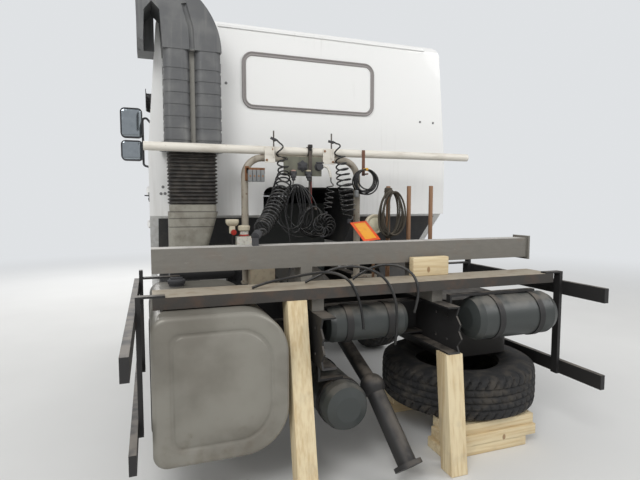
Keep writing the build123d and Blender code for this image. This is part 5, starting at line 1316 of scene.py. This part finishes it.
def fit_rack():
    """The coupling board's cover, sockets and caps, the junction block, the plates' bolts, the bar's clamp
    and the red strap."""
    up, back = (0, 0, 1), (0, 1, 0)
    face, plugs_x, plugs_z = 0.525, (0.265, 0.150), 1.776
    star = turned([(0, 0), (0.037, 0), (0.037, 0.008), (0.026, 0.013), (0.024, 0.02), (0.012, 0.026),
                   (0, 0.026)], (0.189, face, 1.832), back, 60, lambda angle: 1 + 0.13 * np.cos(6 * angle))
    piece("star_cover", [star], "chassis", "dark_plastic")
    socket = turned([(0, 0), (0.03, 0), (0.03, 0.004), (0.024, 0.006), (0.024, 0.03), (0.027, 0.032),
                     (0.027, 0.042), (0, 0.046)], (0.066, face, 1.829), back, 24)
    lid = block((0.036, face + 0.03, 1.851), (0.096, face + 0.046, 1.862), 0.004)
    plug = [(0, 0), (0.018, 0), (0.02, 0.004), (0.02, 0.03), (0.013, 0.034), (0.013, 0.05), (0, 0.052)]
    plugs = [turned(plug, (x, face + 0.02, plugs_z), (0, 0.25, -1), 20) for x in plugs_x]
    holders = [block((x - 0.024, face - 0.001, 1.768), (x + 0.024, face + 0.04, 1.792), 0.005)
               for x in plugs_x]
    piece("board_sockets", [socket, lid] + plugs + holders, "chassis", "dark_plastic")
    for x, edge, top, name, finish in ((plugs_x[0], 0.008, 0.01, "pink_cap", "pink_cap"),
                                       (plugs_x[1], 0.01, 0.012, "pale_cap", "cream_plastic")):
        cap = turned([(0, 0), (0.016, 0), (0.018, 0.003), (0.018, edge), (0, top)], (x, face + 0.022, 1.792),
                     up, 20)
        piece(name, [cap], "chassis", finish)

    bracket = [block((0.470, 0.522, 1.770), (0.606, 0.530, 1.812), 0.002),
               block((0.584, 0.505, 1.72), (0.612, 0.530, 1.822), 0.003)]
    piece("junction_bracket", bracket, "chassis", "copper_bracket")
    shifts = [0.030 * number for number in range(4)]
    cells = [block((0.478 + shift, 0.528, 1.712), (0.505 + shift, 0.56, 1.795), 0.004) for shift in shifts]
    piece("junction_block", cells, "chassis", "grey_connector")
    for name, places, size, height in (
            ("junction_screws", [(0.4915 + shift, 0.559, 1.752) for shift in shifts], 0.0045, 0.005),
            ("plate_bolts", [(0.456, 0.532, 1.868), (-0.048, 0.532, 1.868), (0.408, 0.532, 1.945),
                             (0.016, 0.532, 1.945)], 0.006, 0.006)):
        piece(name, bolts(places, back, size, height), "chassis", "rusty_steel")

    clamp = turned([(0.0305, -0.016), (0.036, -0.016), (0.036, 0.016), (0.0305, 0.016), (0.0305, -0.016)],
                   (PILE_TOP[0], 0.496, 1.94), (1, 0, 0), 32)
    lug = block((0.114, 0.518, 1.965), (0.146, 0.540, 1.99), 0.004)
    piece("bar_clamp", [clamp, lug] + bolt((PILE_TOP[0], 0.5325, 1.955), back, 0.007, 0.008), "chassis",
          "chassis_coat")
    strap = swept([(0.126, 0.536, 1.72), (0.127, 0.537, 1.66), (0.124, 0.5375, 1.60), (0.122, 0.537, 1.555)],
                  rounded(0.0015, 0.014, 0.0007, 3), back)
    piece("red_strap", [strap], "chassis", "red_plastic")


def laid(part, origin, first, second):
    """A part drawn flat, moved so that its X and Y run along two directions from the origin."""
    points, faces = part
    first = unit(first)
    over = unit(np.cross(first, np.asarray(second, float)))
    second = np.cross(over, first)
    return np.asarray(origin) + points @ np.stack([first, second, over]), faces


def fit_plate():
    """The warning plate: an orange rim round a raised amber field, leaning on the lamp and the beam. It is
    drawn flat and laid from one corner along two of its sides."""
    corner, beside, below = (np.array(place) for place in
                             ((-0.039, 0.88, 1.426), (-0.16, 0.88, 1.438), (-0.146, 1.08, 1.322)))
    across, along = beside - corner, below - beside
    wide, tall = np.linalg.norm(across), np.linalg.norm(along)
    border = 0.020

    def layer(inset, low, high, radius):
        flat = block((inset, inset, low), (wide - inset, tall - inset, high), radius)
        return laid(flat, corner, across, along)

    piece("warning_plate", [layer(0, -0.003, 0, 0.006)], "chassis", "orange_plate")
    piece("warning_field", [layer(border, -0.0045, -0.001, 0.004), layer(border, -0.001, 0.0015, 0.004)],
          "chassis", "amber_plate")


def fit_lamp():
    """The work lamp's rim and glass."""
    centre, back = np.array([-0.232, 0.873, 1.415]), (0, 1, 0)
    rim = turned([(0.048, -0.03), (0.066, -0.03), (0.070, -0.012), (0.070, 0.002), (0.064, 0.008),
                  (0.052, 0.006), (0.048, -0.03)], centre, back, 40)
    glass = turned([(0, -0.01), (0.053, -0.01), (0.053, 0.0), (0.04, 0.006), (0.02, 0.0095), (0, 0.0105)],
                   centre, back, 40)
    piece("lamp_rim", [rim], "chassis", "cream_plastic")
    piece("lamp_front_glass", [glass], "chassis", "pale_glass")


def fit_reservoir_caps():
    """The grip and ring of the reservoir's cap, and the filler cup beside it on its stay, with a red tap."""
    x, y, top = 0.635, 0.58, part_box("reservoirs")[1][2]
    cup_x = 0.716
    grip = turned([(0, 0), (0.034, 0), (0.040, 0.006), (0.042, 0.03), (0.038, 0.036), (0.018, 0.040),
                   (0, 0.040)], (x, y, top - 0.0005), (0, 0, 1), 48,
                  lambda angle: 1 + 0.03 * np.cos(12 * angle))
    ring = turned([(0.0285, 0), (0.034, 0.002), (0.034, 0.009), (0.0285, 0.011), (0.0285, 0)],
                  (x, y, top - 0.036), (0, 0, 1), 36)
    route = [(0.680, 0.57, 1.171), (0.700, 0.575, 1.19), (0.714, 0.58, 1.26), (cup_x, 0.58, 1.36)]
    stay = swept(smoothed(route, 20), rounded(0.004, 0.030, 0.001, 3), (0, 1, 0))
    piece("filler_stay", [stay], "chassis", "chassis_coat")
    flare = stacked(rounded(0.086, 0.066, 0.014, 5) + (cup_x, 0.580),
                    [(1.404, 0.016), (1.410, 0.010), (1.418, 0.004), (1.430, 0.0), (1.446, 0.0),
                     (1.450, 0.002), (1.450, 0.010), (1.441, 0.013), (1.438, 0.03)], 2)
    box = block((0.698, 0.562, 1.352), (0.736, 0.598, 1.406), 0.005)
    piece("filler_cup", [flare, box], "chassis", "cream_plastic")
    tap = turned([(0, 0), (0.017, 0), (0.019, 0.003), (0.019, 0.016), (0, 0.018)], (0.712, 0.605, 1.362),
                 (0, 1, 0), 24)
    piece("filler_tap", [tap], "chassis", "red_plastic")
    piece("reservoir_grip", [grip], "chassis", "cream_plastic")
    piece("reservoir_ring", [ring], "chassis", "red_plastic")


# Fittings on the cab and the front

def fit_cab_rear():
    """The rear window's rubber, whose profile of two beads is carried round a rounded rectangle, and the
    bolts in the rear wall."""
    low, high = (np.array(corner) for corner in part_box("rear_window_rubber"))
    middle, wide, tall = (low + high) / 2, high[0] - low[0], high[2] - low[2]
    back, front = high[1], low[1]
    # (inset, y), from the outer edge over both beads to the inner edge and back in front
    profile = [(0, back - 0.007), (0.002, back - 0.002), (0.006, back), (0.010, back - 0.002),
               (0.012, back - 0.006), (0.017, back - 0.0075), (0.022, back - 0.006), (0.0245, back - 0.001),
               (0.028, back), (0.031, back - 0.002), (0.033, back - 0.008), (0.033, front + 0.004),
               (0.030, front), (0.002, front), (0, front + 0.003), (0, front + 0.008), (0.015, front + 0.011),
               (0.015, back - 0.012)]
    rows = []
    for inset, depth in profile:
        ring = rounded(wide - 2 * inset, tall - 2 * inset, max(0.086 - inset, 0.02), 9)
        level = np.full(len(ring), depth)
        rows.append(np.column_stack([middle[0] + ring[:, 0], level, middle[2] + ring[:, 1]]))
    piece("window_beads", [skin(np.stack(rows), ring=True)], "cab", "seal_rubber",
          ["rear_window_rubber"], 50)
    wall = 0.1895
    places = [(x, wall, z) for x, z in ((1.154, 1.680), (1.169, 1.631), (1.141, 1.632), (0.684, 2.464),
                                        (-0.996, 2.270), (-1.128, 2.268))]
    piece("wall_bolts", bolts(places, (0, 1, 0), 0.007, 0.006), "cab", "zinc")


def fit_mirrors():
    """The four mirror glasses, slightly crowned, in their housings: a rounded rectangle carried along Y and
    drawn in as it rises."""
    face = -1.7985
    crown = [(0, 0.0), (0.003, 0.0), (0.0045, 0.004), (0.006, 0.03), (0.0068, 0.06), (0.007, 0.09)]
    glasses = []
    for low, high in ((2.280, 2.600), (2.030, 2.250)):
        shape = rounded(0.206, high - low - 0.022, 0.030, 7) + (1.414, (low + high) / 2)
        glasses.append(stacked(shape, [(face + rise, inset) for rise, inset in crown], 1))
    piece("mirror_glasses", mirrored(glasses), "cab", "mirror_glass")


def fit_headlamps():
    """The reflector, bulb and glass of the four headlamps."""
    face, height, back = -2.182, 0.545, (0, 1, 0)
    bowls, bulbs, glasses = [], [], []
    for x, radius in ((0.855, 0.068), (1.010, 0.062)):
        centre = (x, face, height)
        bowls.append(turned([(radius - 0.001, 0.001), (0.85 * radius, 0.02), (0.62 * radius, 0.045),
                             (0.1 * radius, 0.056), (0, 0.0565), (0, 0.0585), (0.52 * radius, 0.0585),
                             (radius - 0.0005, 0.003)], centre, back, 40))
        bulbs.append(turned([(0, 0.0), (0.007, 0.002), (0.009, 0.008), (0.009, 0.028), (0, 0.03)],
                            (x, face + 0.026, height), back, 20))
        glasses.append(turned([(0, -0.006), (0.4 * radius, -0.0055), (0.8 * radius, -0.003),
                               (radius - 0.002, 0.0), (radius - 0.002, 0.003), (0.8 * radius, 0.0),
                               (0.4 * radius, -0.0025), (0, -0.003)], centre, back, 40))
    piece("lamp_bowls", mirrored(bowls), "chassis", "reflector")
    piece("lamp_bulbs", mirrored(bulbs), "chassis", "pale_glass")
    piece("lamp_glasses", mirrored(glasses), "chassis", "lamp_glass")


def struck(node, start, way):
    """Where a straight line from a point first meets a part."""
    hit, place, _, _ = node.ray_cast(start, way)
    if not hit:
        raise RuntimeError("Nothing of " + node.name + " lies ahead of " + str(start))
    return place


def fit_wipers():
    """The two wipers. Each arm rises from its foot and stands off whatever lies behind it, and each blade
    follows the windscreen to both sides of the arm's tip."""
    screen, panel = NODES["windscreen"], NODES["cab_front_panel"]
    ahead, back, sill = -4.0, (0, 1, 0), 1.805
    arms, blades = [], []
    for foot_x, tip_x in ((0.62, 0.16), (-0.30, -0.76)):
        rows = []
        for share in np.linspace(0, 1, 9):
            x, z = foot_x + (tip_x - foot_x) * share, 1.752 + 0.30 * share**1.2
            places = [node.ray_cast((x, ahead, z), back) for node in (screen, panel)]
            nearest = min(place[1] for hit, place, _, _ in places if hit)
            rows.append((x, nearest - 0.022 + 0.008 * share, z))
        arms.append(swept(smoothed(rows, 24), rounded(0.014, 0.008, 0.003, 3), back))
        arms.append(turned([(0, 0), (0.022, 0), (0.022, 0.012), (0.014, 0.02), (0, 0.02)],
                           (rows[0][0], rows[0][1] + 0.020, rows[0][2]), (0, -1, 0), 24))
        tip = np.array(rows[-1])
        line = []
        for shift in np.linspace(-0.3, 0.3, 9):
            x, z = tip[0] + shift * 0.35, max(tip[2] + shift, sill)
            hit, place, _, _ = screen.ray_cast((x, ahead, z), back)
            line.append((x, (place[1] if hit else tip[1]) - 0.0065, z))
        blades.append(swept(smoothed(line, 24), rounded(0.012, 0.010, 0.003, 3), back))
    piece("wiper_arms", arms, "cab", "dark_plastic")
    piece("wiper_blades", blades, "cab", "hose_rubber")


def fit_handles():
    """The door handles: a plate, a bowed pull over it and a lock, set on the door's own face."""
    beside = 3.0
    for side, name in ((1, "left"), (-1, "right")):
        x = struck(NODES["door_" + name], (side * beside, -0.93, 1.62), (-side, 0, 0))[0]
        low, high = sorted((x - side * 0.001, x + side * 0.006))
        plate = block((low, -1.03, 1.575), (high, -0.87, 1.665), 0.003, axis=0)
        bow = smoothed([(x + side * 0.004, -1.012, 1.632), (x + side * 0.030, -1.000, 1.634),
                        (x + side * 0.034, -0.95, 1.636), (x + side * 0.030, -0.900, 1.634),
                        (x + side * 0.004, -0.888, 1.632)], 30)
        pull = swept(bow, rounded(0.022, 0.010, 0.004, 4), (0, 0, 1))
        lock = turned([(0, 0), (0.011, 0), (0.011, 0.003), (0.009, 0.005), (0, 0.005)],
                      (x + side * 0.005, -0.905, 1.600), (side, 0, 0), 24)
        piece(name + "_handle", [plate, pull, lock], "door_" + name, "dark_plastic")


# Sizes, operators and panel

class TractorSizes(bpy.types.PropertyGroup):
    hose_diameter: bpy.props.FloatProperty(name="Hose",
                                           description="Outside diameter of the coiled air hoses",
                                           default=0.0115, min=0.006, max=0.02, unit="LENGTH")
    cable_diameter: bpy.props.FloatProperty(name="Cable", description="Outside diameter of the wound cable",
                                            default=0.011, min=0.006, max=0.02, unit="LENGTH")
    left_turns: bpy.props.IntProperty(name="Left coil turns", description="Turns of the big left coil",
                                      default=16, min=8, max=30)
    right_turns: bpy.props.IntProperty(name="Right coil turns", description="Turns of the right coil",
                                       default=10, min=4, max=14)
    bellows_folds: bpy.props.IntProperty(name="Bellows folds", description="Folds of the intake bellows",
                                         default=15, min=8, max=20)
    tread_blocks: bpy.props.IntProperty(name="Tread blocks", description="Cross cuts round each tyre",
                                        default=54, min=30, max=80)
    floor_half: bpy.props.FloatProperty(name="Floor", description="Half the width of the studio floor",
                                        default=60.0, min=5.0, max=200.0, unit="LENGTH")
    world_light: bpy.props.FloatProperty(name="Sky light", description="Strength of the light from all round",
                                         default=0.62, min=0.0, max=2.0)


class TractorColours(bpy.types.PropertyGroup):
    cab: bpy.props.FloatVectorProperty(name="Cab", description="Colour of the cab's paint", subtype="COLOR",
                                       size=3, min=0, max=1, default=paint(238, 238, 236))


class TRACTOR_OT_finishes(bpy.types.Operator):
    """Make every finish and put it on the solid parts"""
    bl_idname = "tractor.finishes"
    bl_label = "Finishes"

    def execute(self, context):
        lay_finishes(context.scene.tractor_colours)
        return {"FINISHED"}


class TRACTOR_OT_stage(bpy.types.Operator):
    """Lay the floor and set the lamps and the camera"""
    bl_idname = "tractor.stage"
    bl_label = "Stage"

    def execute(self, context):
        lay_stage(context.scene.tractor_sizes)
        return {"FINISHED"}


class TRACTOR_OT_left_coil(bpy.types.Operator):
    """Hang the left coiled hose"""
    bl_idname = "tractor.left_coil"
    bl_label = "Left coiled hose"

    def execute(self, context):
        hang_left_coil(context.scene.tractor_sizes)
        return {"FINISHED"}


class TRACTOR_OT_right_coil(bpy.types.Operator):
    """Hang the right coiled hose"""
    bl_idname = "tractor.right_coil"
    bl_label = "Right coiled hose"

    def execute(self, context):
        hang_right_coil(context.scene.tractor_sizes)
        return {"FINISHED"}


class TRACTOR_OT_pile(bpy.types.Operator):
    """Hang the slack hose on its pin"""
    bl_idname = "tractor.pile"
    bl_label = "Slack hose"

    def execute(self, context):
        hang_pile(context.scene.tractor_sizes)
        return {"FINISHED"}


class TRACTOR_OT_hank(bpy.types.Operator):
    """Hang the wound cable on its hook"""
    bl_idname = "tractor.hank"
    bl_label = "Wound cable"

    def execute(self, context):
        hang_hank(context.scene.tractor_sizes)
        return {"FINISHED"}


class TRACTOR_OT_cut_hoses(bpy.types.Operator):
    """Lay the cut hoses over the deck"""
    bl_idname = "tractor.cut_hoses"
    bl_label = "Cut hoses"

    def execute(self, context):
        lay_cut_hoses()
        return {"FINISHED"}


class TRACTOR_OT_rubber(bpy.types.Operator):
    """Fit the tyres and the intake bellows"""
    bl_idname = "tractor.rubber"
    bl_label = "Tyres and bellows"

    def execute(self, context):
        fit_tyres(context.scene.tractor_sizes)
        fit_bellows(context.scene.tractor_sizes)
        return {"FINISHED"}


class TRACTOR_OT_wood(bpy.types.Operator):
    """Stand the wooden props and fit the fuel tank's shell"""
    bl_idname = "tractor.wood"
    bl_label = "Props and tank"

    def execute(self, context):
        stand_wood()
        fit_tank()
        return {"FINISHED"}


class TRACTOR_OT_seats(bpy.types.Operator):
    """Fit the seats and the bunk"""
    bl_idname = "tractor.seats"
    bl_label = "Seats and bunk"

    def execute(self, context):
        fit_seats()
        return {"FINISHED"}


class TRACTOR_OT_rack(bpy.types.Operator):
    """Fit the small parts of the hose rack"""
    bl_idname = "tractor.rack"
    bl_label = "Hose rack fittings"

    def execute(self, context):
        fit_rack()
        fit_lamp()
        fit_plate()
        fit_reservoir_caps()
        return {"FINISHED"}


class TRACTOR_OT_cab(bpy.types.Operator):
    """Fit the cab's window rubber, bolts, mirrors, handles, wipers and lamps"""
    bl_idname = "tractor.cab"
    bl_label = "Cab fittings"

    def execute(self, context):
        for fit in (fit_cab_rear, fit_mirrors, fit_headlamps, fit_wipers, fit_handles):
            fit()
        return {"FINISHED"}


class TRACTOR_OT_leads(bpy.types.Operator):
    """Hang the board's leads and the rope on its stake"""
    bl_idname = "tractor.leads"
    bl_label = "Leads and rope"

    def execute(self, context):
        hang_leads()
        hang_rope()
        return {"FINISHED"}


STEPS = (TRACTOR_OT_stage, TRACTOR_OT_finishes, TRACTOR_OT_left_coil, TRACTOR_OT_right_coil, TRACTOR_OT_pile,
         TRACTOR_OT_hank, TRACTOR_OT_cut_hoses, TRACTOR_OT_leads, TRACTOR_OT_rubber, TRACTOR_OT_wood,
         TRACTOR_OT_seats, TRACTOR_OT_cab, TRACTOR_OT_rack)


class TRACTOR_PT_parts(bpy.types.Panel):
    """The pieces and sizes of the tractor unit"""
    bl_label = "Tractor unit"
    bl_idname = "TRACTOR_PT_parts"
    bl_space_type = "VIEW_3D"
    bl_region_type = "UI"
    bl_category = "Tractor"

    def draw(self, context):
        column = self.layout.column()
        for group in (context.scene.tractor_sizes, context.scene.tractor_colours):
            for name in group.__annotations__:
                column.prop(group, name)
        for operator in STEPS:
            column.operator(operator.bl_idname)


CLASSES = (TractorSizes, TractorColours, *STEPS, TRACTOR_PT_parts)


def register():
    """Adds the classes and the scene's properties."""
    for part in CLASSES:
        bpy.utils.register_class(part)
    bpy.types.Scene.tractor_sizes = bpy.props.PointerProperty(type=TractorSizes)
    bpy.types.Scene.tractor_colours = bpy.props.PointerProperty(type=TractorColours)


def unregister():
    """Takes them away again."""
    del bpy.types.Scene.tractor_colours
    del bpy.types.Scene.tractor_sizes
    for part in reversed(CLASSES):
        bpy.utils.unregister_class(part)


def main():
    """Builds everything in order."""
    register()
    for operator in STEPS:
        group, name = operator.bl_idname.split(".")
        getattr(getattr(bpy.ops, group), name)()


if __name__ == "__main__":
    main()
